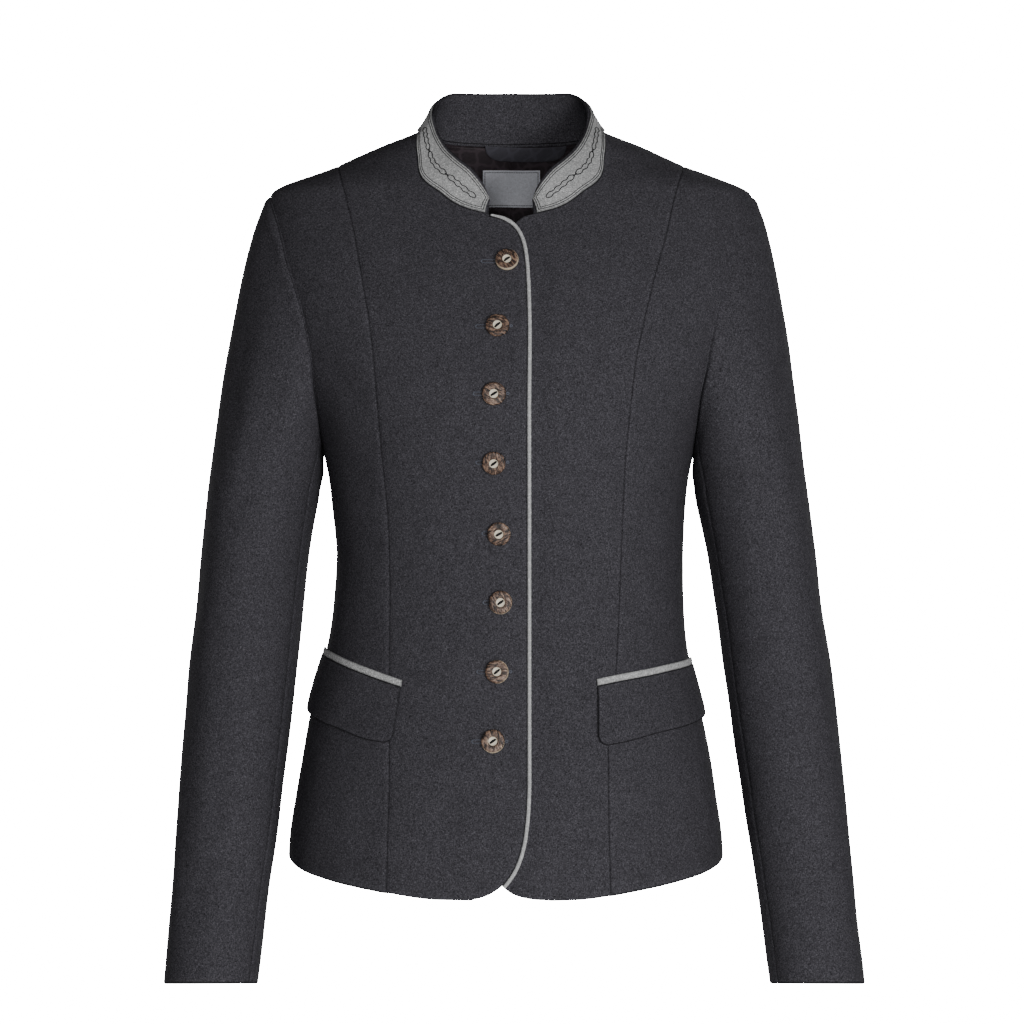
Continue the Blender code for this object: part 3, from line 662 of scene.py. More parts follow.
def patch(left: Array, right: Array, top: Array, bottom: Array) -> Array:
    """Surface between four lines: the two ruled blends added, less the blend of the four corners.

    Args:
        left: first column.
        right: last column.
        top: first row.
        bottom: last row.

    Returns:
        The grid between them.
    """
    u = np.linspace(0, 1, len(top))[None, :, None]
    v = np.linspace(0, 1, len(left))[:, None, None]
    corners = (
        (1 - u) * (1 - v) * top[0] + u * (1 - v) * top[-1] + (1 - u) * v * bottom[0] + u * v * bottom[-1]
    )
    return (1 - u) * left[:, None] + u * right[:, None] + (1 - v) * top[None] + v * bottom[None] - corners


def face_patch(lines: Sequence[Array], back: bool = False) -> Array:
    """Grid of (angle, z) for a centre piece, blended between its four lines as seen from the front.

    Args:
        lines: its left, right, top and bottom line.
        back: whether it is a back.

    Returns:
        The grid.
    """
    flat = patch(*[np.stack([skin(line[:, 0], line[:, 1])[:, 0], line[:, 1]], -1) for line in lines])
    angle = angle_at(flat[..., 0], flat[..., 1])
    if back:
        angle = np.where(angle >= 0, np.pi - angle, -np.pi - angle)
    return np.stack([angle, flat[..., 1]], -1)


def finer_edges(grid: Array) -> Array:
    """A grid with three more rows and columns next to each border, for its rounding.

    Args:
        grid: the grid.

    Returns:
        The finer grid.
    """
    for axis in (0, 1):
        lines = np.moveaxis(grid, axis, 0)
        head = [lines[0] + (lines[1] - lines[0]) * s for s in EDGE_STEPS]
        tail = [lines[-1] + (lines[-2] - lines[-1]) * s for s in reversed(EDGE_STEPS)]
        lines = np.concatenate([lines[:1], head, lines[1:-1], tail, lines[-1:]])
        grid = np.moveaxis(lines, 0, axis)
    return grid


def border_distance(points: Array) -> Array:
    """Distances of each point of a grid from its left, right, top and bottom border, along the grid.

    Args:
        points: the grid's points.

    Returns:
        Four grids of distances.
    """
    across = np.linalg.norm(np.diff(points, axis=1), axis=-1)
    down = np.linalg.norm(np.diff(points, axis=0), axis=-1)
    across = np.concatenate([np.zeros((len(points), 1)), np.cumsum(across, axis=1)], axis=1)
    down = np.concatenate([np.zeros((1, points.shape[1])), np.cumsum(down, axis=0)], axis=0)
    return np.stack([across, across[:, -1:] - across, down, down[-1:] - down])


def pull_in(points: Array, gap: float) -> Array:
    """A grid with its border moved in towards its neighbours by gap.

    Args:
        points: the grid's points.
        gap: how far in.

    Returns:
        The new grid.
    """
    points = points.copy()
    for edge, inner in ((0, 4), (-1, -5)):
        for k in range(4):
            row = k if edge == 0 else -1 - k
            share = 1 - k / 4
            points[row] += unit(points[inner] - points[edge]) * gap * share
            points[:, row] += unit(points[:, inner] - points[:, edge]) * gap * share
    return points


def grid_normals(points: Array, outward: Array) -> Array:
    """Normals of a grid from its own differences, turned to the outward side.

    Args:
        points: the grid's points.
        outward: a rough outward direction at each.

    Returns:
        Unit vectors.
    """
    normals = unit(np.cross(np.gradient(points, axis=0), np.gradient(points, axis=1)))
    flip = np.sign(np.sum(normals * outward, axis=-1, keepdims=True))
    return normals * np.where(flip == 0, 1, flip)


class Bench:
    """Adds and joins nodes in one node tree."""

    def __init__(self, tree: bpy.types.NodeTree) -> None:
        """Keeps the tree."""
        self.tree = tree

    def add(self, kind: str, inputs: dict | None = None, **settings: object) -> bpy.types.Node:
        """Adds a node.

        Args:
            kind: the node's type name without its ShaderNode start.
            inputs: input sockets by name or number, each a value or another node's output socket.
            settings: the node's own properties.

        Returns:
            The new node.
        """
        node = self.tree.nodes.new("ShaderNode" + kind)
        for name, value in settings.items():
            setattr(node, name, value)
        for key, value in (inputs or {}).items():
            if isinstance(value, Socket):
                self.tree.links.new(value, node.inputs[key])
            else:
                node.inputs[key].default_value = value
        return node

    def maths(self, operation: str, *values: object) -> Socket:
        """Output of a Math node on numbers or sockets."""
        return self.add("Math", dict(enumerate(values)), operation=operation).outputs[0]

    def times(self, first: object, second: object) -> Socket:
        """Product of two numbers or sockets."""
        return self.maths("MULTIPLY", first, second)

    def plus(self, first: object, second: object) -> Socket:
        """Sum of two numbers or sockets."""
        return self.maths("ADD", first, second)

    def less(self, first: object, second: object) -> Socket:
        """First less second, each a number or a socket."""
        return self.maths("SUBTRACT", first, second)

    def shares(self, first: Socket, part: float, second: Socket) -> Socket:
        """A part of the first and the rest of the second."""
        return self.plus(self.times(first, part), self.times(second, 1 - part))

    def blend(self, share: object, first: object, second: object, mode: str = "MIX") -> Socket:
        """Colour output of a Mix node; a plain colour has three numbers.

        Args:
            share: share of the second.
            first: colour or socket.
            second: colour or socket.
            mode: how they mix.

        Returns:
            The mixed colour.
        """
        first, second = ((*c, 1) if isinstance(c, tuple) else c for c in (first, second))
        node = self.add("Mix", {0: share, 6: first, 7: second}, data_type="RGBA", blend_type=mode)
        return node.outputs[2]

    def ramp(self, value: Socket, stops: Sequence[tuple[float, Triple]]) -> Socket:
        """Colour output of a ramp with these (place, colour) stops.

        Args:
            value: place along the ramp.
            stops: the stops, in order.

        Returns:
            The colour.
        """
        node = self.add("ValToRGB", {0: value})
        points = node.color_ramp.elements
        while len(points) < len(stops):
            points.new(0.5)
        for point, (place, colour) in zip(points, stops):
            point.position = place
            point.color = (*colour, 1)
        return node.outputs[0]

    def spread(self, value: Socket, low: float, high: float, first: float = 0.0, last: float = 1.0) -> Socket:
        """Value carried from one range to another, held at its ends."""
        return self.add("MapRange", {0: value, 1: low, 2: high, 3: first, 4: last}).outputs[0]

    def noise(self, place: Socket, scale: object, detail: float, **inputs: float) -> Socket:
        """Value of a noise texture."""
        given = {"Vector": place, "Scale": scale, "Detail": detail, **inputs}
        return self.add("TexNoise", given).outputs[0]

    def turned(self, place: Socket, scale: Triple, turn: Triple = (0, 0, 0)) -> Socket:
        """A place stretched by axis and turned."""
        return self.add("Mapping", {"Vector": place, "Scale": scale, "Rotation": turn}).outputs[0]

    def fact(self, name: str) -> Socket:
        """A point attribute's value."""
        return self.add("Attribute", attribute_name=name).outputs["Fac"]

    def shared(self, group: bpy.types.NodeTree, **inputs: object) -> bpy.types.NodeOutputs:
        """Outputs of a shared group with these inputs."""
        return self.add("Group", inputs, node_tree=group).outputs

    def object_place(self) -> Socket:
        """Place on the object, in metres."""
        return self.add("TexCoord").outputs["Object"]

    def cut_place(self) -> Socket:
        """Place on the flat cut, in millimetres."""
        return self.add("UVMap", uv_map="cut").outputs[0]


class Surface(Bench):
    """A new material and a bench on its tree."""

    def __init__(self, name: str, roughness: float, specular: float) -> None:
        """Makes the material; roughness and specular are its shader's levels.

        Args:
            name: the material's name.
            roughness: its shader's roughness.
            specular: its shader's specular level.
        """
        self.material = bpy.data.materials.new(name)
        self.material.use_nodes = True
        super().__init__(self.material.node_tree)
        self.shader = self.tree.nodes["Principled BSDF"]
        self.give("Roughness", roughness)
        self.give("Specular IOR Level", specular)

    def give(self, name: str, value: object) -> None:
        """Gives the shader's input a value or joins it to a socket.

        Args:
            name: the input's name.
            value: a number, a colour or a socket.
        """
        if isinstance(value, Socket):
            self.tree.links.new(value, self.shader.inputs[name])
        else:
            self.shader.inputs[name].default_value = value

    def bump(self, height: Socket, strength: float, depth: float) -> None:
        """Bumps the surface by a height, depth in metres."""
        node = self.add("Bump", {"Height": height, "Strength": strength, "Distance": depth})
        self.give("Normal", node.outputs[0])


class SharedEffects:
    """The node groups that more than one finish uses, each built once."""

    def __init__(self) -> None:
        """Builds the groups."""
        self.fibres = self._fibres()
        self.weave = self._weave()
        self.painted_seam_shade = self._paint_seam_shade()

    @staticmethod
    def _group(name: str, inputs: dict[str, float | None]) -> tuple[Bench, bpy.types.NodeOutputs]:
        """A new group.

        Args:
            name: the group's name.
            inputs: first value of each input, None for a place.

        Returns:
            A bench on the group, and its inputs as sockets.
        """
        tree = bpy.data.node_groups.new(name, "ShaderNodeTree")
        for label, first in inputs.items():
            kind = "NodeSocketVector" if first is None else "NodeSocketFloat"
            socket = tree.interface.new_socket(label, in_out="INPUT", socket_type=kind)
            if first is not None:
                socket.default_value = first
        return Bench(tree), tree.nodes.new("NodeGroupInput").outputs

    @staticmethod
    def _put_out(bench: Bench, **outputs: Socket) -> bpy.types.NodeTree:
        """Adds the group's outputs, joins them and returns the group.

        Args:
            bench: the group's bench.
            outputs: its values by name.

        Returns:
            The group.
        """
        for label in outputs:
            bench.tree.interface.new_socket(label, in_out="OUTPUT", socket_type="NodeSocketFloat")
        made = bench.tree.nodes.new("NodeGroupOutput")
        for label, value in outputs.items():
            bench.tree.links.new(value, made.inputs[label])
        return bench.tree

    def _fibres(self) -> bpy.types.NodeTree:
        """Napped fibres: fine flecks, short hairs that run down, and soft clouds.

        Returns:
            The group, with Fleck, Cloud and Nap.
        """
        bench, given = self._group("fibres", {"Vector": None, "Size": 0.001})
        place, per = given["Vector"], bench.maths("DIVIDE", 1.0, given["Size"])
        grain = bench.noise(place, per, 2.0, Roughness=0.7)
        down = bench.turned(place, (1.0, 1.0, 0.28), (0.2, 0.35, 0.1))
        hairs = bench.noise(down, bench.times(per, 1.7), 3.0, Distortion=0.6)
        aside = bench.turned(place, (0.4, 0.4, 1.0), (0.5, -0.6, 0.8))
        cross = bench.noise(aside, bench.times(per, 1.3), 2.0, Distortion=0.8)
        cloud = bench.noise(place, bench.times(per, 0.07), 4.0)
        mixed = bench.shares(hairs, 0.55, cross)
        fleck = bench.shares(mixed, 0.6, grain)
        return self._put_out(bench, Fleck=bench.spread(fleck, 0.33, 0.68), Cloud=cloud, Nap=mixed)

    def _weave(self) -> bpy.types.NodeTree:
        """Plain weave: two rows of rounded threads that pass over and under in turn.

        Returns:
            The group, with Height and Over.
        """
        bench, given = self._group("weave", {"Vector": None, "Thread": 0.5})
        parts = bench.add("SeparateXYZ", {0: given["Vector"]}).outputs
        turns = bench.maths("DIVIDE", 3.14159, given["Thread"])
        warp, weft = (bench.maths("SINE", bench.times(part, turns)) for part in parts[:2])
        over = bench.spread(bench.times(warp, weft), -0.15, 0.15)
        first = bench.times(bench.maths("ABSOLUTE", warp), over)
        second = bench.times(bench.maths("ABSOLUTE", weft), bench.less(1.0, over))
        return self._put_out(bench, Height=bench.plus(first, second), Over=over)

    def _paint_seam_shade(self) -> bpy.types.NodeTree:
        """Painted shade at pressed seams and edges: darker in the join and on the rim, where shade falls, and
        a little lighter where the cloth turns beside it.

        Returns:
            The group, with Shade.
        """
        bench, given = self._group("painted_seam_shade", {"Seam": 0})
        seam = given["Seam"]
        # Painted shade in the join and on the rim; the next line lightens the cloth just beside it.
        dark = bench.spread(seam, 0.72, 1.0, 0.0, 0.42)
        light = bench.times(bench.spread(seam, 0.1, 0.5, 0.0, 0.1), bench.spread(seam, 0.5, 0.72, 1.0, 0.0))
        return self._put_out(bench, Shade=bench.less(bench.plus(1.0, light), dark))


@dataclass(frozen=True)
class FibreFinish:
    """Felted or napped wool of two mixed fibre colours."""

    name: str
    dark: Triple
    light: Triple
    fibre: float
    nap: float = 0.0004
    cloud: float = 0.06
    sheen: float = 0.0
    roughness: float = 0.94

    def make(self, shared: SharedEffects) -> Material:
        """Makes the material: fibre colours by fleck, soft clouds, painted shade in the seam joins and on
        rims with a little lightening beside them, and a nap.

        Args:
            shared: the shared node groups.

        Returns:
            The material.
        """
        made = Surface(self.name, self.roughness, 0.08)
        fibres = made.shared(shared.fibres, Vector=made.object_place(), Size=self.fibre)
        middle = tuple((a + b) * 0.37 for a, b in zip(self.dark, self.light))
        colour = made.ramp(fibres["Fleck"], ((0.0, self.dark), (0.52, middle), (1.0, self.light)))
        clouds = made.spread(fibres["Cloud"], 0.3, 0.7, 1 - self.cloud, 1 + self.cloud)
        # Painted shade: the seam attribute darkens joins and rims and lightens a narrow band beside them.
        shade = made.times(clouds, made.shared(shared.painted_seam_shade, Seam=made.fact("seam"))["Shade"])
        grey = made.add("CombineColor", {0: shade, 1: shade, 2: shade}).outputs[0]
        made.give("Base Color", made.blend(1.0, colour, grey, "MULTIPLY"))
        made.give("Roughness", made.spread(fibres["Nap"], 0.3, 0.7, self.roughness - 0.08, 1.0))
        made.bump(fibres["Nap"], 0.55, self.nap)
        made.give("Sheen Weight", self.sheen)
        made.give("Sheen Roughness", 0.5)
        return made.material


@dataclass(frozen=True)
class WovenFinish:
    """A smooth woven cloth, with a tone-on-tone figure of crossing waves where figure is over 0."""

    name: str
    colour: Triple
    thread: float
    figure: float = 0.0
    roughness: float = 0.5
    coat: float = 0.0
    border: Triple | None = None

    def make(self, shared: SharedEffects) -> Material:
        """Makes the material from the piece's own map in millimetres.

        Args:
            shared: the shared node groups.

        Returns:
            The material.
        """
        made = Surface(self.name, self.roughness, 0.35)
        place = made.cut_place()
        weave = made.shared(shared.weave, Vector=place, Thread=self.thread)
        fibres = made.shared(shared.fibres, Vector=place, Size=1.6)
        fleck = made.spread(fibres["Fleck"], 0.0, 1.0, 0.15, 0.85)
        colour = made.blend(fleck, self.toned(0.72), self.toned(1.25))
        rough = made.spread(weave["Over"], 0.0, 1.0, self.roughness - 0.06, self.roughness + 0.08)
        if self.figure:
            mask = self.waves(made, place)
            colour = made.blend(made.times(mask, 0.7), colour, self.toned(1 + self.figure))
            rough = made.plus(rough, made.times(mask, 0.16))
        if self.border:
            edge = made.fact("seam")
            band = made.times(made.spread(edge, 0.34, 0.4), made.spread(edge, 0.56, 0.62, 1.0, 0.0))
            colour = made.blend(made.times(band, 0.5), colour, self.border)
        made.give("Base Color", colour)
        made.give("Roughness", rough)
        made.bump(weave["Height"], 0.5, 0.00012)
        made.give("Coat Weight", self.coat)
        return made.material

    def toned(self, times: float) -> Triple:
        """The colour made lighter or darker."""
        return tuple(min(1.0, c * times) for c in self.colour)

    @staticmethod
    def waves(made: Surface, place: Socket) -> Socket:
        """Mask of the figure: where the sine across plus the signed square of the sine down is near 0.

        Args:
            made: the finish's surface.
            place: place on the cut.

        Returns:
            The mask.
        """
        parts = made.add("SeparateXYZ", {0: place}).outputs
        wave, bend = (made.maths("SINE", made.times(part, rate)) for part, rate in zip(parts, (0.34, 0.27)))
        rings = made.maths("ABSOLUTE", made.plus(wave, made.times(bend, made.maths("ABSOLUTE", bend))))
        return made.less(1.0, made.spread(rings, 0.28, 0.52))


@dataclass(frozen=True)
class HornFinish:
    """Stag horn: streaked bark on the face, a light bone rim, partly the horn's own bone and partly painted
    highlight that is wider towards one side, and a cream dished middle.
    """

    name: str = "stag_horn"
    bark_dark: Triple = (0.012, 0.0085, 0.007)
    bark_brown: Triple = (0.09, 0.05, 0.035)
    bark_light: Triple = (0.3, 0.19, 0.135)
    bone: Triple = (0.6, 0.5, 0.36)
    cream: Triple = (0.9, 0.83, 0.68)

    def make(self) -> Material:
        """Makes the material: bark by the turned map, rim and middle by the radius attribute, the rim widened
        towards one side of the map as a painted highlight.

        Returns:
            The material.
        """
        made = Surface(self.name, 0.42, 0.45)
        place = made.cut_place()
        streaks = made.noise(made.turned(place, (1.0, 0.3, 1.0)), 0.62, 5.0, Roughness=0.66, Distortion=0.6)
        pits = made.noise(place, 1.4, 3.0)
        bark = made.shares(streaks, 0.78, pits)
        stops = ((0.44, self.bark_dark), (0.5, self.bark_brown), (0.58, self.bark_light), (0.74, self.bone))
        radius = made.fact("radius")
        rim_and_highlight = made.plus(radius, made.times(made.less(pits, 0.5), 0.9))
        # Painted highlight: the bone rim grows wider towards one side of each button, along one axis of the
        # map.
        painted_highlight_side = made.add("SeparateXYZ", {0: place}).outputs[1]
        rim_and_highlight = made.less(rim_and_highlight, made.times(painted_highlight_side, 0.055))
        colour = made.blend(made.spread(rim_and_highlight, 8.3, 8.75, 0.0, 0.9), made.ramp(bark, stops), self.bone)
        middle = made.spread(radius, 3.3, 3.7, 1.0, 0.0)
        cream = made.blend(made.spread(pits, 0.35, 0.65, 0.0, 0.5), self.cream, self.bone)
        made.give("Base Color", made.blend(middle, colour, cream))
        made.give("Roughness", made.spread(bark, 0.35, 0.65, 0.62, 0.3))
        made.bump(made.times(bark, made.less(1.0, middle)), 0.8, 0.0007)
        return made.material


@dataclass(frozen=True)
class ThreadFinish:
    """Sewing thread with a slight shine and twisted strands."""

    name: str
    colour: Triple

    def make(self, shared: SharedEffects) -> Material:
        """Makes the material: fine fibres on the thread's colour.

        Args:
            shared: the shared node groups.

        Returns:
            The material.
        """
        made = Surface(self.name, 0.6, 0.3)
        fibres = made.shared(shared.fibres, Vector=made.object_place(), Size=0.0005)
        dark, light = (tuple(min(1.0, c * tone) for c in self.colour) for tone in (0.6, 1.35))
        made.give("Base Color", made.ramp(fibres["Fleck"], ((0.0, dark), (1.0, light))))
        made.bump(fibres["Nap"], 0.4, 0.0001)
        return made.material


class Wardrobe:
    """Every finish of the jacket, made once."""

    def __init__(self) -> None:
        """Makes the shared effects and the materials."""
        shared = SharedEffects()
        white = (1.0, 1.0, 1.0)
        wool = FibreFinish("charcoal_wool", (0.001, 0.001, 0.0013), (0.149, 0.143, 0.165), 0.00085)
        felt = FibreFinish("grey_felt", (0.17, 0.173, 0.175), white, 0.001, 0.00025, sheen=0.05)
        cord = FibreFinish("piping_felt", (0.32, 0.325, 0.328), white, 0.0012, 0.0002, 0.05, 0.05)
        lining = WovenFinish("figured_lining", (0.026, 0.019, 0.023), 0.35, 1.1, coat=0.06)
        loop = WovenFinish("loop_cloth", (0.05, 0.048, 0.06), 0.5, 0.45, 0.75)
        label = WovenFinish("woven_label", (0.68, 0.69, 0.75), 0.4, roughness=0.6, border=(0.06, 0.06, 0.08))
        self.wool, self.felt, self.cord = (finish.make(shared) for finish in (wool, felt, cord))
        self.lining, self.loop, self.label = (finish.make(shared) for finish in (lining, loop, label))
        self.horn = HornFinish().make()
        self.dark_thread = ThreadFinish("dark_thread", (0.006, 0.006, 0.0075)).make(shared)
        self.blue_thread = ThreadFinish("blue_grey_thread", (0.11, 0.116, 0.145)).make(shared)


def quads(index: Array) -> Array:
    """The quads of a grid of point numbers."""
    return np.stack([index[:-1, :-1], index[1:, :-1], index[1:, 1:], index[:-1, 1:]], -1).reshape(-1, 4)


def ring_quads(index: Array) -> Array:
    """The quads of a grid of point numbers whose last column meets its first."""
    return quads(np.concatenate([index, index[:, :1]], axis=1))


def grid_quads(grid: Array) -> Array:
    """The quads of a grid of points."""
    return quads(np.arange(grid[..., 0].size).reshape(grid.shape[:2]))


def spokes(turn: Array) -> Array:
    """Unit vectors in a plane at these turns, in radians."""
    return np.stack([np.cos(turn), np.sin(turn)], -1)


def swept(crossed: Array) -> Array:
    """Cross products of the two diagonals of each quad, from its four corners."""
    return np.cross(crossed[:, 2] - crossed[:, 0], crossed[:, 3] - crossed[:, 1])


def add_mesh(
    name: str,
    points: Array,
    faces: Array,
    materials: Sequence[Material],
    face_material: Array | None = None,
    cut_map: Array | None = None,
    facts: dict[str, Array] | None = None,
) -> Piece:
    """Adds one mesh object.

    Args:
        name: the piece's name.
        points: its points, in millimetres.
        faces: its quads.
        materials: its materials.
        face_material: number of the material of each face.
        cut_map: flat place of each point in the cut, in millimetres.
        facts: point attributes by name.

    Returns:
        The object, at the origin, with its faces outwards.
    """
    corner = points[faces]
    if np.sum(corner.mean(axis=1) * swept(corner)) < 0:
        faces = faces[:, ::-1]
    mesh = bpy.data.meshes.new(name)
    mesh.from_pydata((points * MM).tolist(), [], faces.tolist())
    for material in materials:
        mesh.materials.append(material)
    mesh.polygons.foreach_set("use_smooth", np.ones(len(faces), bool))
    if face_material is not None:
        mesh.polygons.foreach_set("material_index", face_material.astype(np.int32))
    if cut_map is not None:
        place = cut_map[faces.reshape(-1)]
        mesh.uv_layers.new(name="cut").data.foreach_set("uv", place.reshape(-1).astype(np.float32))
    for label, values in (facts or {}).items():
        layer = mesh.attributes.new(label, "FLOAT", "POINT")
        layer.data.foreach_set("value", values.astype(np.float32))
    made = bpy.data.objects.new(name, mesh)
    bpy.context.scene.collection.objects.link(made)
    return made


def wall(
    name: str,
    outer: Array,
    inner: Array,
    materials: Sequence[Material],
    bulge: float = 0.45,
    inner_material: int = 0,
) -> Piece:
    """A wall between two grids with a half-round rim.

    Args:
        name: the piece's name.
        outer: outer grid of points.
        inner: inner grid of the same shape.
        materials: one material, or one for the outside and the rim and one for the inside.
        bulge: how far the rim stands out past the border.
        inner_material: number of the inside's material.

    Returns:
        The piece. In words: round the border, each rim point is the middle of the wall, plus half the
        wall times the cosine of its turn, plus the bulge times its sine, away from the grid.
    """
    rows, columns = outer.shape[:2]
    index = np.arange(rows * columns).reshape(rows, columns)
    border = np.concatenate([index[:, 0], index[-1, 1:], index[-2::-1, -1], index[0, -2:0:-1]])
    row, col = np.divmod(border, columns)
    reach_r, reach_c = min(4, rows // 2), min(4, columns // 2)
    near_r = np.clip(row, reach_r, rows - 1 - reach_r)
    near_c = np.clip(col, reach_c, columns - 1 - reach_c)
    middle = (outer[row, col] + inner[row, col]) / 2
    away = unit(middle - (outer[near_r, near_c] + inner[near_r, near_c]) / 2)
    turns = np.radians([45, 90, 135])[:, None, None]
    rim = middle + (outer[row, col] - middle) * np.cos(turns) + away * bulge * np.sin(turns)
    count = rows * columns
    loops = np.concatenate(
        [border[None], 2 * count + np.arange(3 * len(border)).reshape(3, -1), border[None] + count]
    )
    sheet = quads(index)
    faces = np.concatenate([sheet, sheet[:, ::-1] + count, ring_quads(loops)])
    points = np.concatenate([outer.reshape(-1, 3), inner.reshape(-1, 3), rim.reshape(-1, 3)])
    distance = border_distance(outer)
    reach = np.min(distance, axis=0)
    # seam nears 1 at each border and is 1 on the rim: the fibre finishes paint shade there, and the label
    # draws its dark border band from it.
    seam = np.exp(-reach / SEAM_REACH).reshape(-1)
    place = np.stack([distance[0], -distance[2]], -1).reshape(-1, 2)
    rim_place = np.tile(place[border], (3, 1))
    face_material = np.zeros(len(faces))
    face_material[len(sheet):2 * len(sheet)] = inner_material
    return add_mesh(
        name, points, faces, materials, face_material,
        np.concatenate([place, place, rim_place]),
        {"seam": np.concatenate([seam, seam, np.ones(3 * len(border))])},
    )


def skin_wall(
    name: str, turn: Array, z: Array, outer: Array, thick: float, materials: Sequence[Material], bulge: float,
    inner_material: int = 0,
) -> Piece:
    """A wall whose inside lies straight in from its outside.

    Args:
        name: the piece's name.
        turn: the body's angle at each point of the outer grid.
        z: its height there.
        outer: outer grid of points.
        thick: the wall's thickness.
        materials: its finishes, as for wall.
        bulge: how far the rim stands out past the border.
        inner_material: number of the inside's material.

    Returns:
        The piece.
    """
    return wall(name, outer, outer - skin_normal(turn, z) * thick, materials, bulge, inner_material)


def tube(
    name: str, centres: Array, normals: Array, radius: Array | float, material: Material, sides: int = 12
) -> Piece:
    """A round cord along a line.

    Args:
        name: the piece's name.
        centres: points of the line.
        normals: outward directions at them.
        radius: the cord's radius, one number or one for each point.
        material: its finish.
        sides: points round it.

    Returns:
        The piece: a circle carried along the line, closed at both ends by shrinking rings.
    """
    points, faces = cord_arrays(centres, normals, radius, sides)
    return add_mesh(name, points, faces, [material])


def cap_quads(ring: Array) -> Array:
    """Quads across a ring of an even number of points.

    Args:
        ring: its point numbers.

    Returns:
        Quads between its two halves.
    """
    half = len(ring) // 2
    rest = ring[:half - 1:-1]
    return np.stack([ring[:half - 1], ring[1:half], rest[1:], rest[:-1]], -1)


def capped(index: Array) -> Array:
    """Quads of rings of point numbers, closed across the first and the last ring."""
    return np.concatenate([ring_quads(index), cap_quads(index[0])[:, ::-1], cap_quads(index[-1])])


def cord_arrays(centres: Array, normals: Array, radius: Array | float, sides: int) -> tuple[Array, Array]:
    """Points and quads of a closed cord whose end rings shrink.

    Args:
        centres: points of the line.
        normals: outward directions.
        radius: the cord's radius.
        sides: points round it.

    Returns:
        The points, and the quads by their numbers.
    """
    ahead = unit(np.gradient(centres, axis=0))
    across = unit(np.cross(ahead, normals))
    rise = np.cross(across, ahead)
    radius = np.broadcast_to(np.asarray(radius, float), (len(centres),)).copy()
    cap = radius[0] * 0.55
    centres = np.concatenate([[centres[0] - ahead[0] * cap], centres, [centres[-1] + ahead[-1] * cap]])
    across, rise = (np.concatenate([v[:1], v, v[-1:]]) for v in (across, rise))
    radius = np.concatenate([[radius[0] * 0.3], radius, [radius[-1] * 0.3]])
    turn = np.arange(sides) * 2 * np.pi / sides
    rings = centres[:, None] + radius[:, None, None] * (
        np.cos(turn)[None, :, None] * across[:, None] + np.sin(turn)[None, :, None] * rise[:, None]
    )
    index = np.arange(len(centres) * sides).reshape(-1, sides)
    return rings.reshape(-1, 3), capped(index)


def threads(
    name: str, starts: Array, ends: Array, normals: Array, radius: float, material: Material,
    rise: float = 0.5,
) -> Piece:
    """Many short stitches in one piece.

    Args:
        name: the piece's name.
        starts: first point of each stitch.
        ends: last point of each stitch.
        normals: outward direction at each stitch.
        radius: the thread's radius.
        material: its finish.
        rise: how far its middle stands off the line between its ends, in radii.

    Returns:
        The piece: four rings of six points for each stitch, along an arch between its two ends.
    """
    share = np.array([0.0, 0.3, 0.7, 1.0])
    lift = np.sin(np.pi * share) * rise * radius
    line = starts[:, None] + (ends - starts)[:, None] * share[:, None] + normals[:, None] * lift[:, None]
    ahead = unit(ends - starts)
    across = unit(np.cross(ahead, normals))
    up = np.cross(across, ahead)
    turn = np.arange(6) * np.pi / 3
    thick = radius * np.array([0.45, 1.0, 1.0, 0.45])
    ring = np.cos(turn)[:, None] * across[:, None] + np.sin(turn)[:, None] * up[:, None]
    points = line[:, :, None] + thick[None, :, None, None] * ring[:, None]
    index = np.arange(24).reshape(4, 6)
    one = np.concatenate([
        ring_quads(index), [[0, 1, 4, 5], [1, 2, 3, 4]],
        [[23, 22, 19, 18], [22, 21, 20, 19]],
    ])
    faces = (one[None] + 24 * np.arange(len(starts))[:, None, None]).reshape(-1, 4)
    return add_mesh(name, points.reshape(-1, 3), faces, [material])


def settle(piece: Piece, nodes: Sequence[str] = ()) -> Piece:
    """Puts a piece on the jacket's body, hides the solids that it stands for, and reports it.

    Args:
        piece: the new piece.
        nodes: the solids that it stands for.

    Returns:
        The same piece.
    """
    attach(piece, "root")
    if nodes:
        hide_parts(*nodes)
    LOG.info("%s: %d faces", piece.name, len(piece.data.polygons))
    return piece


def settle_cloth(
    piece: Piece, node: str
) -> None:
    """Args:
        piece: the new piece.
        node: the solid that it stands for.
    """
    settle(piece, [node])


def seam_dip(outer: Array, seams: Sequence[bool]) -> Array:
    """How far the cloth sinks at its sewn borders.

    Args:
        outer: the piece's grid.
        seams: whether the left, right, top and bottom border is sewn.

    Returns:
        For each sewn border, the dip times a bell of the distance from it, less a small pucker that
        follows the seam and dies away from it.
    """
    total = np.zeros(outer.shape[:2])
    distance = border_distance(outer)
    for number, sewn in enumerate(seams):
        if sewn:
            run = distance[2] if number < 2 else distance[0]
            pucker = np.sin(run / 3.1) * np.sin(run / 7.7 + 1.0 + number)
            total += SEAM_DIP * np.exp(-(distance[number] / SEAM_REACH) ** 2)
            total -= 0.22 * pucker * np.exp(-distance[number] / 7.0) * (distance[number] > 0.2)
    return total


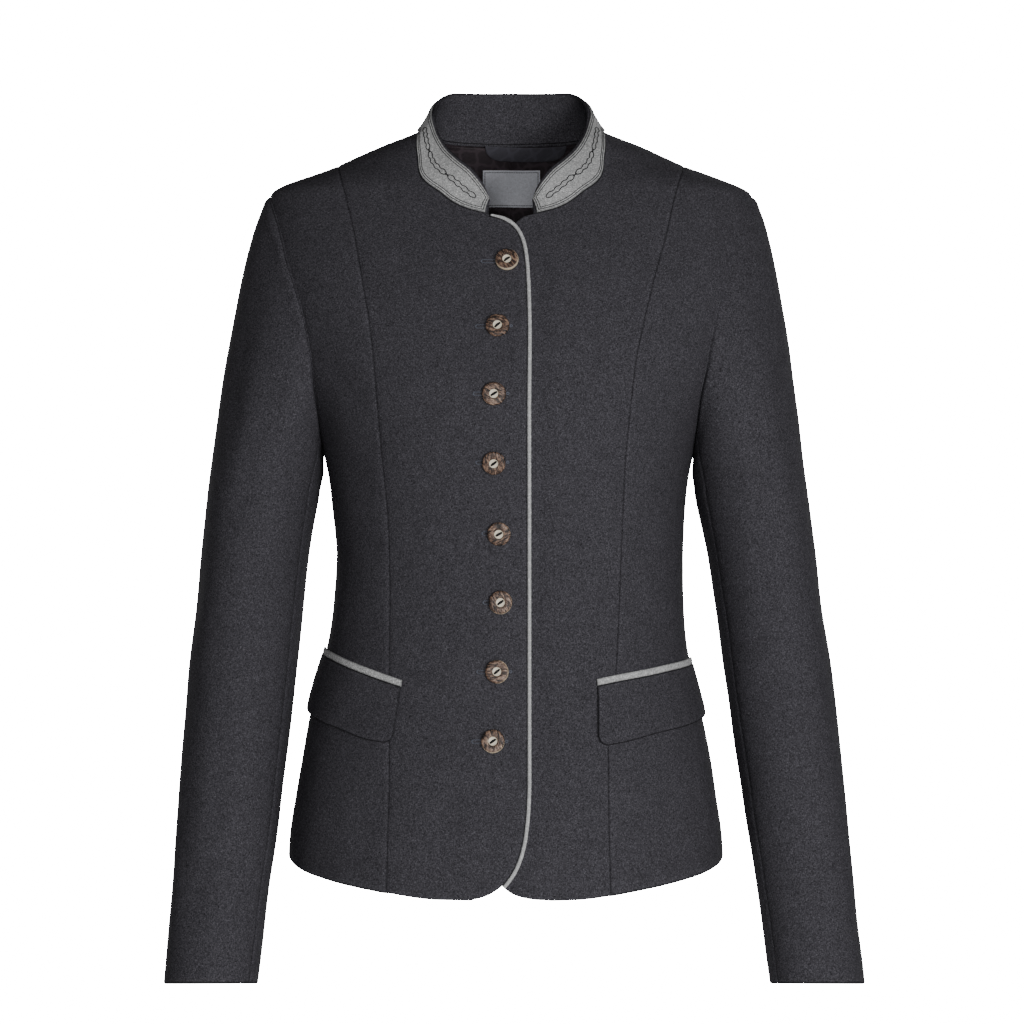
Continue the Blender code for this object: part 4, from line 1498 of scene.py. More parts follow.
@dataclass
class BodyPanels:
    """The four fronts and four backs, cut between the seams of one draped body surface."""

    wardrobe: Wardrobe
    allowance: float = -0.7

    def panel(
        self, node: str, grid: Array, seams: Sequence[bool], out: Array | float = 0.0, inside: int = 1
    ) -> None:
        """Makes one panel.

        Args:
            node: the solid that it stands for.
            grid: its (angle, z).
            seams: which of its left, right, top and bottom borders are sewn.
            out: distance from the body surface at each grid point.
            inside: number of the inside's material, 0 for facing cloth and 1 for lining.
        """
        lift = np.broadcast_to(np.asarray(out)[..., None], (*grid.shape[:2], 1))
        angle, z, out = np.moveaxis(finer_edges(np.concatenate([grid, lift], -1)), -1, 0)
        sunk = body(angle, z, out - seam_dip(body(angle, z, out), seams))
        outer = pull_in(sunk, SEAM_GAP)
        inner = pull_in(sunk - skin_normal(angle, z) * CLOTH, self.allowance if inside else SEAM_GAP)
        piece = wall(f"cloth_{node}", outer, inner, [self.wardrobe.wool, self.wardrobe.lining], 0.5, inside)
        settle_cloth(piece, node)

    def lap_depth(self, angle: Array, z: Array) -> Array:
        """How far in the left front lies: fully under the right front, and easing to none beside it.

        Args:
            angle: turn from the centre front, in radians.
            z: heights.

        Returns:
            Distances in from the body surface.
        """
        edge = along(RIGHT_EDGE, np.linspace(0, 1, 300))
        cover = np.interp(-z, -np.minimum.accumulate(edge[:, 1]), edge[:, 0])
        return LAP * (1 - ease((skin(angle, z)[..., 0] - cover - PIPING_RADIUS - 1.0) / LAP_EASE))

    def build_fronts(self) -> None:
        """Builds the centre and side fronts."""
        for side in Side:
            table, shift = (RIGHT_EDGE, PIPING_RADIUS + SEAM_GAP) if side is Side.RIGHT else (LEFT_EDGE, 0.0)
            seam = princess(side, side.word)
            edge = np.concatenate([neckline(side, NECK_FRONT, NECK_ROWS)[:-1], front_edge(table, shift)])
            top = shoulder(side, SHOULDER_SEAM_Z, 0, CENTRE_COLUMNS)
            grid = face_patch((seam, edge, top, hem_line(seam[-1], edge[-1], CENTRE_COLUMNS)))
            out = 0.0 if side is Side.RIGHT else -self.lap_depth(grid[..., 0], grid[..., 1])
            self.panel(f"front_{side.word}", grid, (True, False, True, False), out, 0)
            outer_seam = side_seam(side, "front")
            top = shoulder(side, SHOULDER_SEAM_Z, SHOULDER_TIP_Z, SIDE_COLUMNS)
            grid = patch(seam, outer_seam, top, hem_line(seam[-1], outer_seam[-1], SIDE_COLUMNS))
            self.panel(f"side_front_{side.word}", grid, (True, True, True, False))

    def build_backs(self) -> None:
        """Builds the centre and side backs."""
        for side in Side:
            self.panel(f"back_{side.word}", back_grid(side), (True, True, True, False))
            seam, outer_seam = princess(side, "back"), side_seam(side, "back")
            top = shoulder(side, SHOULDER_SEAM_Z, SHOULDER_TIP_Z, SIDE_COLUMNS)
            grid = patch(seam, outer_seam, top, hem_line(seam[-1], outer_seam[-1], SIDE_COLUMNS))
            self.panel(f"side_back_{side.word}", grid, (True, True, True, False))


def back_grid(side: Side) -> Array:
    """A centre back as a grid of (angle, z), its last column on the neckline and the centre back seam.

    Args:
        side: the wearer's side.

    Returns:
        The grid, from the princess seam to the centre.
    """
    seam = princess(side, "back")
    steps = np.linspace(0, 1, ARM_ROWS - NECK_ROWS + 1) ** 1.1
    upper = NECK_BACK[-1].z + (UNDERARM_Z - NECK_BACK[-1].z) * steps
    lower = UNDERARM_Z + (float(hem_z(np.pi)) - UNDERARM_Z) * lower_steps()
    z = np.concatenate([upper, lower[1:]])
    centre = np.stack([np.full_like(z, side.value * np.pi), z], -1)
    inside = np.concatenate([neckline(side, NECK_BACK, NECK_ROWS)[:-1], centre])
    top = shoulder(side, SHOULDER_SEAM_Z, 0, CENTRE_COLUMNS)
    return face_patch((seam, inside, top, hem_line(seam[-1], centre[-1], CENTRE_COLUMNS)), back=True)


def clear_of_body(loop: Array, start: Array, normals: Array) -> Array:
    """Normals at a seam with the body, without the part that would lean the wall into it.

    Args:
        loop: the seam as (angle, z).
        start: its points.
        normals: outward directions.

    Returns:
        The new directions.
    """
    run = np.gradient(start, axis=0)
    away = unit(np.cross(skin_normal(loop[:, 0], loop[:, 1]), run))
    away *= np.sign(np.sum(away * (start.mean(axis=0) - start), axis=-1, keepdims=True))
    lean = np.maximum(np.sum(normals * away, axis=-1, keepdims=True), 0)
    return unit(normals - lean * away)


@dataclass
class Sleeves:
    """Two-piece sleeves, cut from one tube on each side."""

    wardrobe: Wardrobe
    allowance: float = -0.9
    roll: float = 0.9
    roll_at: float = 6.5
    calm: float = 25.0
    fullness: float = 5.2
    full_z: float = -276.0
    full_reach: float = 44.0
    turnings: float = 1.6

    def ring(self, side: Side, turn: Array, z: Array) -> Array:
        """Points of a sleeve's ellipse at a height, its plane tilted towards the cuff; turn 0 is outside.

        Args:
            side: the wearer's side.
            turn: turns round the sleeve, in radians.
            z: heights.

        Returns:
            The points.
        """
        centre, wide, forward, deep, lean = (smooth(SLEEVE, "z", k, z) for k in SleeveRing._fields[1:])
        tilt = CUFF_TILT * (BICEP_Z - z) / (BICEP_Z - CUFF_Z)
        x = side.value * (centre + wide * np.cos(turn)) + lean
        return np.stack([x, -forward - deep * np.sin(turn), z + tilt * deep * np.sin(turn)], -1)

    def cap(self, side: Side, turn: Array, start: Array, s: Array) -> Array:
        """Sleeve head: cubic curves from the armhole to the bicep ring, out and down, then straight down.

        Args:
            side: the wearer's side.
            turn: turns round the sleeve, in radians.
            start: points of the armhole.
            s: shares of the way down.

        Returns:
            The grid of the head.
        """
        sign = side.value
        end = self.ring(side, turn, np.full_like(turn, BICEP_Z))
        reach = np.linalg.norm(end - start, axis=-1)
        under = ((1 - np.cos(turn)) / 2) ** 4
        leave = np.stack(
            [sign * (0.25 - 0.3 * under), -0.12 * np.sin(turn), -0.2 - 0.5 * np.abs(np.sin(turn / 2))], -1
        ) * reach[:, None]
        land = np.stack([sign * 0.12 * (1 - under), 0 * turn, np.full_like(turn, -0.95)], -1) * reach[:, None]
        s = s[:, None, None]
        return (
            (1 + 2 * s) * (1 - s) ** 2 * start + s * (1 - s) ** 2 * leave
            + s * s * (3 - 2 * s) * end + s * s * (s - 1) * land
        )

    def build(self) -> None:
        """Builds both sleeves: the tube first, its creases on it, then the two cuts."""
        for side in Side:
            front, back = armhole(side, "front"), armhole(side, "back")
            loop = np.concatenate([back[::-1], front[1:]])
            turn = np.arange(-ARM_ROWS, ARM_ROWS + 1) * np.pi / ARM_ROWS
            start = body(loop[:, 0], loop[:, 1], -0.5 * SEAM_DIP)
            cap = self.cap(side, turn, start, np.linspace(0, 1, CAP_ROWS + 1))
            heights = np.linspace(BICEP_Z, CUFF_Z, SLEEVE_ROWS + 1)[1:]
            arm = self.ring(side, turn[None, :], heights[:, None] + 0 * turn[None, :])
            shape = np.concatenate([cap, arm])
            wide = np.concatenate([shape[:, -2:-1], shape, shape[:, 1:2]], axis=1)
            middle = shape[:, :-1].mean(axis=1, keepdims=True)
            normals = grid_normals(wide, wide - middle)[:, 1:-1]
            normals[0] = clear_of_body(loop, start, normals[0])
            self.add_turnings(side, loop)
            area = Area.SLEEVE_RIGHT if side is Side.RIGHT else Area.SLEEVE_LEFT
            z = shape[..., 2]
            relief = crease_relief(np.degrees(turn) + 0 * z, z, area) + unevenness(shape)
            down = np.linalg.norm(shape - shape[:1], axis=-1)
            underarm = np.exp(-((z - self.full_z) / self.full_reach) ** 2) * ((1 - np.cos(turn)) / 2) ** 4
            relief = relief + self.fullness * underarm
            rolled = np.exp(-((down - self.roll_at) / 4.5) ** 2) * ease(down / 5)
            relief = relief * ease(down / self.calm) + self.roll * rolled
            shape = shape + normals * relief[..., None]
            first, last = BACK_SEAM_STEP + ARM_ROWS, FRONT_SEAM_STEP + ARM_ROWS
            self.cut(f"sleeve_top_{side.word}", shape[:, first:last + 1], normals[:, first:last + 1])
            under = np.concatenate([shape[:, last:], shape[:, 1:first + 1]], axis=1)
            under_normals = np.concatenate([normals[:, last:], normals[:, 1:first + 1]], axis=1)
            self.cut(f"sleeve_under_{side.word}", under, under_normals)

    def add_turnings(self, side: Side, loop: Array) -> None:
        """Adds the rolled seam turnings inside the armhole, a cord under the seam.

        Args:
            side: the wearer's side.
            loop: the seam as (angle, z).
        """
        centres = body(loop[:, 0], loop[:, 1], 0.1 - self.turnings)
        outward = skin_normal(loop[:, 0], loop[:, 1])
        name = f"cloth_armhole_turnings_{side.word}"
        settle(tube(name, centres, outward, self.turnings, self.wardrobe.wool))

    def cut(self, node: str, shape: Array, normals: Array) -> None:
        """Makes one cut piece of a sleeve from its part of the tube.

        Args:
            node: the solid that it stands for.
            shape: its part of the tube.
            normals: outward directions.
        """
        layers = finer_edges(np.concatenate([shape, normals], -1))
        shape, normals = layers[..., :3], unit(layers[..., 3:])
        sunk = shape - normals * seam_dip(shape, (True, True, True, False))[..., None]
        outer = pull_in(sunk, SEAM_GAP)
        inner = pull_in(sunk - normals * CLOTH, self.allowance)
        piece = wall(f"cloth_{node}", outer, inner, [self.wardrobe.wool, self.wardrobe.lining], 0.5, 1)
        settle_cloth(piece, node)


def on_grid(grid: Array, down: Array, across: Array) -> Array:
    """Points of a grid at fractional rows and columns, blended from the four around each.

    Args:
        grid: the grid.
        down: fractional rows.
        across: fractional columns.

    Returns:
        The points.
    """
    row = np.clip(np.floor(down).astype(int), 0, grid.shape[0] - 2)
    col = np.clip(np.floor(across).astype(int), 0, grid.shape[1] - 2)
    v, u = (down - row)[..., None], (across - col)[..., None]
    return (
        (1 - v) * (1 - u) * grid[row, col] + (1 - v) * u * grid[row, col + 1]
        + v * (1 - u) * grid[row + 1, col] + v * u * grid[row + 1, col + 1]
    )


@dataclass
class Collar:
    """The cloth stand collar, the felt on its outside and the sewing on the felt."""

    wardrobe: Wardrobe
    top_width: float = 61.5
    top_front: float = 74.0
    top_back: float = 47.0
    rows: int = 18
    edge: float = 3.0
    lift: float = 0.4
    turnings: float = 1.3
    foot: float = 0.5
    clear: float = 0.2
    line_insets: tuple[float, ...] = (1.4, 3.2)
    stitch: float = 2.1
    thread: float = 0.3
    line_stand: float = 0.12
    chain_start: float = 10.5
    groups: int = 3
    group_length: float = 30.0
    group_gap: float = 3.0
    link: float = 7.5
    link_height: float = 2.2
    chain_thread: float = 0.36
    chain_stand: float = 0.15
    trim: Array = field(default_factory=lambda: np.zeros((0, 0, 3)))
    trim_normals: Array = field(default_factory=lambda: np.zeros((0, 0, 3)))

    def neck_loop(self, side: Side) -> Array:
        """Half of the neckline as (angle, z), from the front end to the centre back.

        Args:
            side: the wearer's side.

        Returns:
            (angle, z), from the front end.
        """
        front = neckline(side, NECK_FRONT, NECK_ROWS)[::-1]
        front[0] = (angle_at(side.value * 17.5, -72.8), -72.8)
        return np.concatenate([front, neckline(side, NECK_BACK, NECK_ROWS)[1:]])

    def half(self, side: Side) -> Array:
        """One half as a ruled grid from the neckline up to the top curve, matched by share of length.

        Args:
            side: the wearer's side.

        Returns:
            The grid, from the front end to the centre back.
        """
        bottom = skin(*self.neck_loop(side).T)
        turn = np.radians(np.linspace(COLLAR_TOP[0].angle, 180, 300))
        depth = np.where(np.cos(turn) > 0, self.top_front, self.top_back)
        height = smooth(COLLAR_TOP, "angle", "z", np.degrees(turn))
        top = np.stack([side.value * self.top_width * np.sin(turn), -depth * np.cos(turn), height], -1)
        reach, share = run_length(top), run_length(bottom)
        stops = share / share[-1] * reach[-1]
        top = np.stack([np.interp(stops, reach, top[:, k]) for k in range(3)], -1)
        v = np.linspace(0, 1, self.rows + 1)[:, None, None]
        return (1 - v) * bottom + v * top

    def build(self) -> None:
        """Builds the stand, then the felt on it, then the sewing."""
        grid = np.concatenate([self.half(Side.RIGHT), self.half(Side.LEFT)[:, -2::-1]], axis=1)
        normals = grid_normals(grid, grid * (1, 1, 0))
        loop = np.concatenate([self.neck_loop(Side.RIGHT), self.neck_loop(Side.LEFT)[-2::-1]])
        normals[0] = clear_of_body(loop, grid[0], normals[0])
        seam, outward = body(loop[:, 0], loop[:, 1], -CLOTH), skin_normal(loop[:, 0], loop[:, 1])
        settle(tube("cloth_neck_turnings", seam, outward, self.turnings, self.wardrobe.wool))
        layers = finer_edges(np.concatenate([grid, normals], -1))
        outer, turned = layers[..., :3], unit(layers[..., 3:])
        outer = pull_in(outer, SEAM_GAP)
        outer[0] += unit(outer[4] - outer[0]) * self.lift
        stand = wall("cloth_collar_stand", outer, outer - turned * COLLAR_CLOTH, [self.wardrobe.wool], 0.9)
        settle_cloth(stand, "collar_stand")
        face, normals = self.inset(grid, normals)
        self.trim, self.trim_normals = face + normals * (self.clear + FELT), normals
        felt = wall("felt_collar_trim", self.trim, face + normals * self.clear, [self.wardrobe.felt], 0.3)
        settle_cloth(felt, "collar_trim")
        self.sew_lines()
        self.sew_chain()

    def inset(self, grid: Array, normals: Array) -> tuple[Array, Array]:
        """The stand's grid and normals again, kept clear of its two ends, its foot and its top edge.

        Args:
            grid: the stand's points.
            normals: outward directions.

        Returns:
            The felt's points and outward directions.
        """
        count = np.arange(grid.shape[1])
        across = np.stack([
            np.interp(np.linspace(self.edge, reach[-1] - self.edge, len(count)), reach, count)
            for reach in map(run_length, grid)
        ])
        tall = np.interp(across, count, np.linalg.norm(grid[-1] - grid[0], axis=-1))
        v = np.linspace(0, 1, self.rows + 1)[:, None]
        down = (self.foot / tall * (1 - v) + (1 - self.edge / tall) * v) * self.rows
        both = finer_edges(on_grid(np.concatenate([grid, normals], -1), down, across))
        return both[..., :3], unit(both[..., 3:])

    def spot(self, reach: Array, rise: Array) -> tuple[Array, Array]:
        """Places on the felt.

        Args:
            reach: distance along it from the right front end.
            rise: distance up from its lower edge, or down from its upper edge where negative.

        Returns:
            Points and outward directions there.
        """
        middle = self.trim[self.trim.shape[0] // 2]
        column_at = np.interp(reach, run_length(middle), np.arange(len(middle)))
        steps = np.linalg.norm(np.diff(self.trim, axis=0), axis=-1)
        heights = np.concatenate([np.zeros((1, steps.shape[1])), np.cumsum(steps, axis=0)])
        tall = np.interp(column_at, np.arange(len(middle)), heights[-1])
        target = np.where(rise < 0, tall + rise, rise) / tall
        share = heights / heights[-1:]
        nearest = np.clip(np.round(column_at).astype(int), 0, len(middle) - 1)
        below = np.sum(share[:, nearest] < target[None], axis=0) - 1
        below = np.clip(below, 0, len(share) - 2)
        low, high = share[below, nearest], share[below + 1, nearest]
        row = below + (target - low) / np.maximum(high - low, 1e-9)
        return on_grid(self.trim, row, column_at), unit(on_grid(self.trim_normals, row, column_at))

    def sew_lines(self) -> None:
        """Sews the double lines round the felt's edges, in a thread that thins at the end of each stitch."""
        length = run_length(self.trim[self.trim.shape[0] // 2])[-1]
        parts = []
        for inset in self.line_insets:
            run = np.linspace(inset, length - inset, 1500)
            corners = [(run, np.full_like(run, inset)), (run, np.full_like(run, -inset))]
            for reach in (inset, length - inset):
                foot, top = (self.spot(np.array([reach]), np.array([rise]))[0] for rise in (inset, -inset))
                rise = np.linspace(inset, inset + np.linalg.norm(top - foot), 90)
                corners.append((np.full_like(rise, reach), rise))
            for reach, rise in corners:
                points, outward = self.spot(reach, rise)
                pinch = np.abs(np.sin(np.pi * run_length(points) / self.stitch)) ** 0.5
                radius = self.thread * (0.7 + 0.3 * pinch)
                parts.append(cord_arrays(points + outward * self.line_stand, outward, radius, 6))
        settle(self.joined("thread_collar_lines", parts))

    def joined(self, name: str, parts: Sequence[tuple[Array, Array]]) -> Piece:
        """One piece of dark thread from several cords.

        Args:
            name: the piece's name.
            parts: points and quads of each cord.

        Returns:
            The piece.
        """
        base = np.cumsum([0] + [len(points) for points, _ in parts[:-1]])
        points = np.concatenate([points for points, _ in parts])
        faces = np.concatenate([faces + first for (_, faces), first in zip(parts, base)])
        return add_mesh(name, points, faces, [self.wardrobe.dark_thread])

    def sew_chain(self) -> None:
        """Sews the groups of open links along the middle, with a crossed knot between groups.

        In words: a group is a closed line whose half height swells and narrows by a part of a cosine, and
        rounds in at its two ends.
        """
        length = run_length(self.trim[self.trim.shape[0] // 2])[-1]
        share = np.linspace(0, 1, 180)
        s = self.group_length * (1 - np.cos(np.pi * share)) / 2
        near = np.clip(np.minimum(s, self.group_length - s) / self.link_height, 0, 1)
        swell = 0.77 - 0.23 * np.cos(2 * np.pi * s / self.link)
        swell = np.where(near < 1, np.maximum(swell, 0.8), swell)
        half_height = self.link_height * np.sqrt(1 - (1 - near) ** 2) * swell
        loop_s, loop_rise = np.concatenate([s, s[::-1]]), np.concatenate([half_height, -half_height[::-1]])
        knot = np.linspace(-self.group_gap * 0.7, self.group_gap * 0.7, 16)
        for side in Side:
            parts = []
            for group in range(self.groups):
                first = self.chain_start + group * (self.group_length + self.group_gap)
                lines = [(first + loop_s, loop_rise)]
                if group:
                    middle = first - self.group_gap / 2
                    lines += [(middle + knot, knot * 0.5), (middle + knot, -knot * 0.5)]
                for reach, rise in lines:
                    reach = reach if side is Side.RIGHT else length - reach
                    foot, top = (self.spot(reach, np.full_like(reach, edge))[0] for edge in (0.0, -1e-6))
                    points, outward = self.spot(reach, np.linalg.norm(top - foot, axis=-1) / 2 + rise)
                    points = points + outward * self.chain_stand
                    parts.append(cord_arrays(points, outward, self.chain_thread, 8))
            settle(self.joined(f"thread_collar_chain_{side.word}", parts))


def on_body(x: Array, z: Array, out: Array | float = 0.0) -> tuple[Array, Array]:
    """Points of the draped front at (x, z), moved out, and the outward directions there.

    Args:
        x: places across.
        z: heights.
        out: distance from the surface.

    Returns:
        Points, and unit vectors.
    """
    x, z = np.broadcast_arrays(np.asarray(x, float), np.asarray(z, float))
    angle = angle_at(x, z)
    return body(angle, z, np.broadcast_to(out, x.shape)), skin_normal(angle, z)


@dataclass
class Piping:
    """The covered cord in the right front's edge."""

    wardrobe: Wardrobe
    first: float = 0.004
    last: float = 0.949
    points: int = 520
    twist: float = 7.0
    taper: float = 14.0

    def build(self) -> None:
        """Builds the cord along the edge's line, a little sunk, swelling slightly with the cover's turns."""
        dense = along(RIGHT_EDGE, np.linspace(self.first, self.last, self.points))
        centres, normals = on_body(dense[:, 0], dense[:, 1], -PIPING_SINK)
        gone = run_length(centres)
        twist = 1 + 0.03 * np.sin(gone * 2 * np.pi / self.twist)
        radius = PIPING_RADIUS * twist * (0.6 + 0.4 * ease(gone / self.taper))
        piece = tube("felt_front_piping", centres, normals, radius, self.wardrobe.cord, 14)
        settle(piece, ["front_piping"])


@dataclass
class Pockets:
    """Felt welts and the cloth flaps under them."""

    wardrobe: Wardrobe
    welt_height: float = 5.2
    corner: float = 8.0
    stand_top: float = 0.6
    stand_hem: float = 2.2
    columns: int = 96
    rows: int = 34
    lean: dict[Side, float] = field(default_factory=lambda: {Side.RIGHT: 0.4, Side.LEFT: -1.5})

    def build(self) -> None:
        """Builds both pockets: the body surface moved out, between the welt's line and the flap's hem."""
        for side in Side:
            rows = POCKETS[side]
            degrees = np.linspace(rows[0].angle, rows[-1].angle, self.columns + 1)
            angle = np.radians(degrees)
            welt = smooth(rows, "angle", "welt_z", degrees)
            hem = smooth(rows, "angle", "flap_z", degrees)
            reach = run_length(skin(side.value * angle, welt))
            inside = np.clip(self.corner - np.minimum(reach, reach[-1] - reach), 0, self.corner)
            hem = hem + self.corner - np.sqrt(self.corner ** 2 - inside ** 2)
            strip = self.add_welt(side, angle, welt)
            self.add_flap(side, angle, degrees - rows[0].angle, welt - self.welt_height / 2, hem)

    def add_welt(self, side: Side, angle: Array, welt: Array) -> Piece:
        """Adds one welt, its face slightly rounded.

        Args:
            side: the wearer's side.
            angle: angles along it.
            welt: its middle's heights.

        Returns:
            The welt.
        """
        v = np.linspace(0, 1, 9)[:, None]
        z = welt + self.welt_height * (0.5 - v)
        turn = side.value * np.broadcast_to(angle, z.shape)
        out = self.stand_top + FELT + 0.25 * np.sin(np.pi * v) + 0 * z
        outer = pull_in(body(turn, z, out), 0.2)
        piece = skin_wall(f"felt_pocket_welt_{side.word}", turn, z, outer, FELT, [self.wardrobe.felt], 0.3)
        return settle(piece, [f"pocket_welt_{side.word}"])

    def add_flap(
        self, side: Side, angle: Array, from_start: Array, top: Array, hem: Array
    ) -> None:
        """Adds one flap, which leans at its front end and stands off a little more towards its hem.

        Args:
            side: the wearer's side.
            angle: angles along it.
            from_start: degrees from its front end.
            top: heights of its top.
            hem: heights of its hem.
        """
        v = np.linspace(0, 1, self.rows + 1)[:, None]
        z = top + (hem - top) * v
        lean = np.radians(self.lean[side]) * v * (1 - ease(from_start / 20))
        turn = side.value * (angle + lean)
        out = self.stand_top + (self.stand_hem - self.stand_top) * v ** 1.3 + 0 * turn
        wave = 0.35 * np.sin(np.linspace(0, 5.2, turn.shape[1]) + side.value) * v ** 2
        layers = finer_edges(np.stack([turn, z, out + CLOTH + wave], -1))
        turn, z, out = np.moveaxis(layers, -1, 0)
        outer = body(turn, z, out)
        distance = border_distance(outer)
        hem_line_dip = 0.35 * np.exp(-((np.min(distance[[0, 1, 3]], axis=0) - 5.0) / 0.8) ** 2)
        outer = pull_in(outer - skin_normal(turn, z) * hem_line_dip[..., None], 0.7)
        name, finishes = f"cloth_pocket_flap_{side.word}", [self.wardrobe.wool, self.wardrobe.lining]
        piece = skin_wall(name, turn, z, outer, CLOTH, finishes, 0.6, 1)
        settle_cloth(piece, f"pocket_flap_{side.word}")


class ButtonLook(NamedTuple):
    """Turns of a button's bark and bar in degrees, its buttonhole's reach, and whether an eyelet shows."""

    bark: float
    bar: float
    hole_reach: float
    eyelet: bool


BUTTON_LOOKS = (
    ButtonLook(38, 38, 10.0, False), ButtonLook(82, 42, 7.0, True), ButtonLook(64, 32, 6.0, True),
    ButtonLook(4, 38, 4.0, True), ButtonLook(118, 30, 3.2, False), ButtonLook(30, 36, 3.6, False),
    ButtonLook(96, 40, 5.6, True), ButtonLook(12, 36, 6.4, True),
)


@dataclass
class Buttons:
    """Eight horn buttons with their thread, buttonholes and eyelets."""

    wardrobe: Wardrobe
    sides: int = 72
    lift: float = 0.35
    profile: tuple[tuple[float, float], ...] = (
        (0.6, 0.0), (7.2, 0.0), (8.3, 0.35), (8.85, 1.1), (9.0, 1.9), (8.95, 2.6), (8.6, 3.15), (8.1, 3.45),
        (7.2, 3.6), (6.0, 3.72), (4.8, 3.78), (4.0, 3.74), (3.6, 3.5), (3.35, 3.1), (3.0, 2.9), (1.8, 2.82),
        (0.5, 2.8),
    )
    dish: float = 3.4
    rim: float = 9.4
    ridges: int = 5
    ridge_height: float = 0.22
    hole_half: float = 2.1
    eyelet_x: float = 10.4

    def frame_at(self, place: Edge) -> tuple[Array, Array, Array, Array]:
        """A button's middle, on the highest cloth under it, and its across, up and outward directions.

        Args:
            place: its place on the front.

        Returns:
            Four points or unit vectors.
        """
        angle = np.asarray(angle_at(place.x, place.z))
        flat = skin(angle, place.z)
        normal = skin_normal(angle, place.z)
        across = unit(np.cross((0, 0, 1), normal))
        up = np.cross(normal, across)
        turn = np.linspace(0, 2 * np.pi, 24, endpoint=False)
        ring = np.concatenate([[[0, 0]], *(spokes(turn) * radius for radius in (4.5, 8.9))])
        spots, _ = on_body(place.x + ring[:, 0], place.z + ring[:, 1])
        high = np.max((spots - flat) @ normal)
        return flat + normal * (high + self.lift), across, up, normal

    def build(self) -> None:
        """Builds each button, its bar of thread, and the sewing round its buttonhole and eyelet."""
        turn = np.arange(self.sides) * 2 * np.pi / self.sides
        for number, (place, look) in enumerate(zip(BUTTONS, BUTTON_LOOKS), 1):
            centre, across, up, normal = self.frame_at(place)
            rng = np.random.default_rng(100 + number)
            shape = np.array(self.profile)
            oval, lobes = (np.sin(waves * turn + rng.uniform(0, 6)) for waves in (2, 5))
            radius = shape[:, :1] * (1 + 0.008 * oval + 0.005 * lobes)
            flat = radius[..., None] * spokes(turn)
            bark = np.radians(look.bark)
            grain = flat @ np.array([[np.cos(bark), -np.sin(bark)], [np.sin(bark), np.cos(bark)]])
            face = ease((shape[:, :1] - self.dish) / 1.2) * ease((self.rim - shape[:, :1]) / 1.2)
            on_face = face * (shape[:, 1:] > 2.0)
            bend = 0.5 * np.sin(grain[..., 1] * 0.6)
            ridge = sum(
                np.sin(grain[..., 0] * rng.uniform(1.6, 5.5) + bend + rng.uniform(0, 6))
                for _ in range(self.ridges)
            ) / self.ridges
            height = shape[:, 1:] + self.ridge_height * ridge * on_face
            points = centre + flat[..., :1] * across + flat[..., 1:] * up + height[..., None] * normal
            index = np.arange(radius.size).reshape(radius.shape)
            piece = add_mesh(
                f"horn_button_{number}", points.reshape(-1, 3), capped(index), [self.wardrobe.horn],
                cut_map=grain.reshape(-1, 2) + rng.uniform(0, 60, 2), facts={"radius": radius.reshape(-1)},
            )
            settle(piece, [f"button_{number}"])
            self.add_bar(number, centre, across, up, normal, np.radians(look.bar))
            self.add_holes(number, place, look)

    def add_bar(
        self, number: int, centre: Array, across: Array, up: Array, normal: Array, turn: float
    ) -> None:
        """Adds the strands of thread between a button's two holes, and the dark thread down in each hole.

        Args:
            number: the button's number.
            centre: its middle.
            across: its first axis.
            up: its second axis.
            normal: its outward axis.
            turn: the bar's turn.
        """
        ahead = np.cos(turn) * across + np.sin(turn) * up
        aside = np.cross(normal, ahead)
        offsets = np.array([-0.6, -0.2, 0.2, 0.6])[:, None] * aside
        bottom = centre + normal * 3.0
        starts = bottom - ahead * self.hole_half + offsets
        ends = bottom + ahead * self.hole_half + offsets
        spots = np.array([-1, 1])[:, None] * ahead * self.hole_half
        starts = np.concatenate([starts, bottom + spots - normal * 0.1])
        ends = np.concatenate([ends, bottom + spots + normal * 0.02])
        normals = np.concatenate([np.repeat(normal[None], 4, axis=0), np.repeat(aside[None], 2, axis=0)])
        piece = threads(
            f"thread_button_{number}", starts[:4], ends[:4], normals[:4], 0.36, self.wardrobe.dark_thread, 1.4
        )
        settle(piece)
        piece = threads(
            f"hole_button_{number}", starts[4:], ends[4:], normals[4:], 0.95, self.wardrobe.dark_thread, 0.0
        )
        settle(piece)

    def add_holes(self, number: int, place: Edge, look: ButtonLook) -> None:
        """Adds close stitches across both sides of the buttonhole, and a ring of them round the eyelet.

        Args:
            number: the button's number.
            place: the button's place.
            look: its look.
        """
        left = np.arange(place.x - 9.0 - look.hole_reach, place.x - 7.0, 0.55)
        rng = np.random.default_rng(200 + number)
        starts, ends = [], []
        for sign in (-1, 1):
            jitter = rng.uniform(-0.12, 0.12, len(left))
            starts.append(np.stack([left, place.z + sign * 0.75 + 0 * left], -1))
            ends.append(np.stack([left + jitter, place.z + sign * (1.75 + jitter)], -1))
        rounds = [((left[0], place.z), np.radians(np.linspace(100, 260, 7)), 0.3)]
        if look.eyelet:
            middle = (place.x + self.eyelet_x, place.z + 0.3)
            rounds.append((middle, np.linspace(0, 2 * np.pi, 15, endpoint=False), 0.35))
        for middle, turn, hollow in rounds:
            starts.append(middle + spokes(turn) * hollow)
            ends.append(middle + spokes(turn) * 1.5)
        starts, ends = np.concatenate(starts), np.concatenate(ends)
        first, normal = on_body(starts[:, 0], starts[:, 1], 0.12)
        last, _ = on_body(ends[:, 0], ends[:, 1], 0.12)
        thread = self.wardrobe.blue_thread
        piece = threads(f"thread_buttonhole_{number}", first, last, normal, 0.26, thread, 0.6)
        settle(piece)


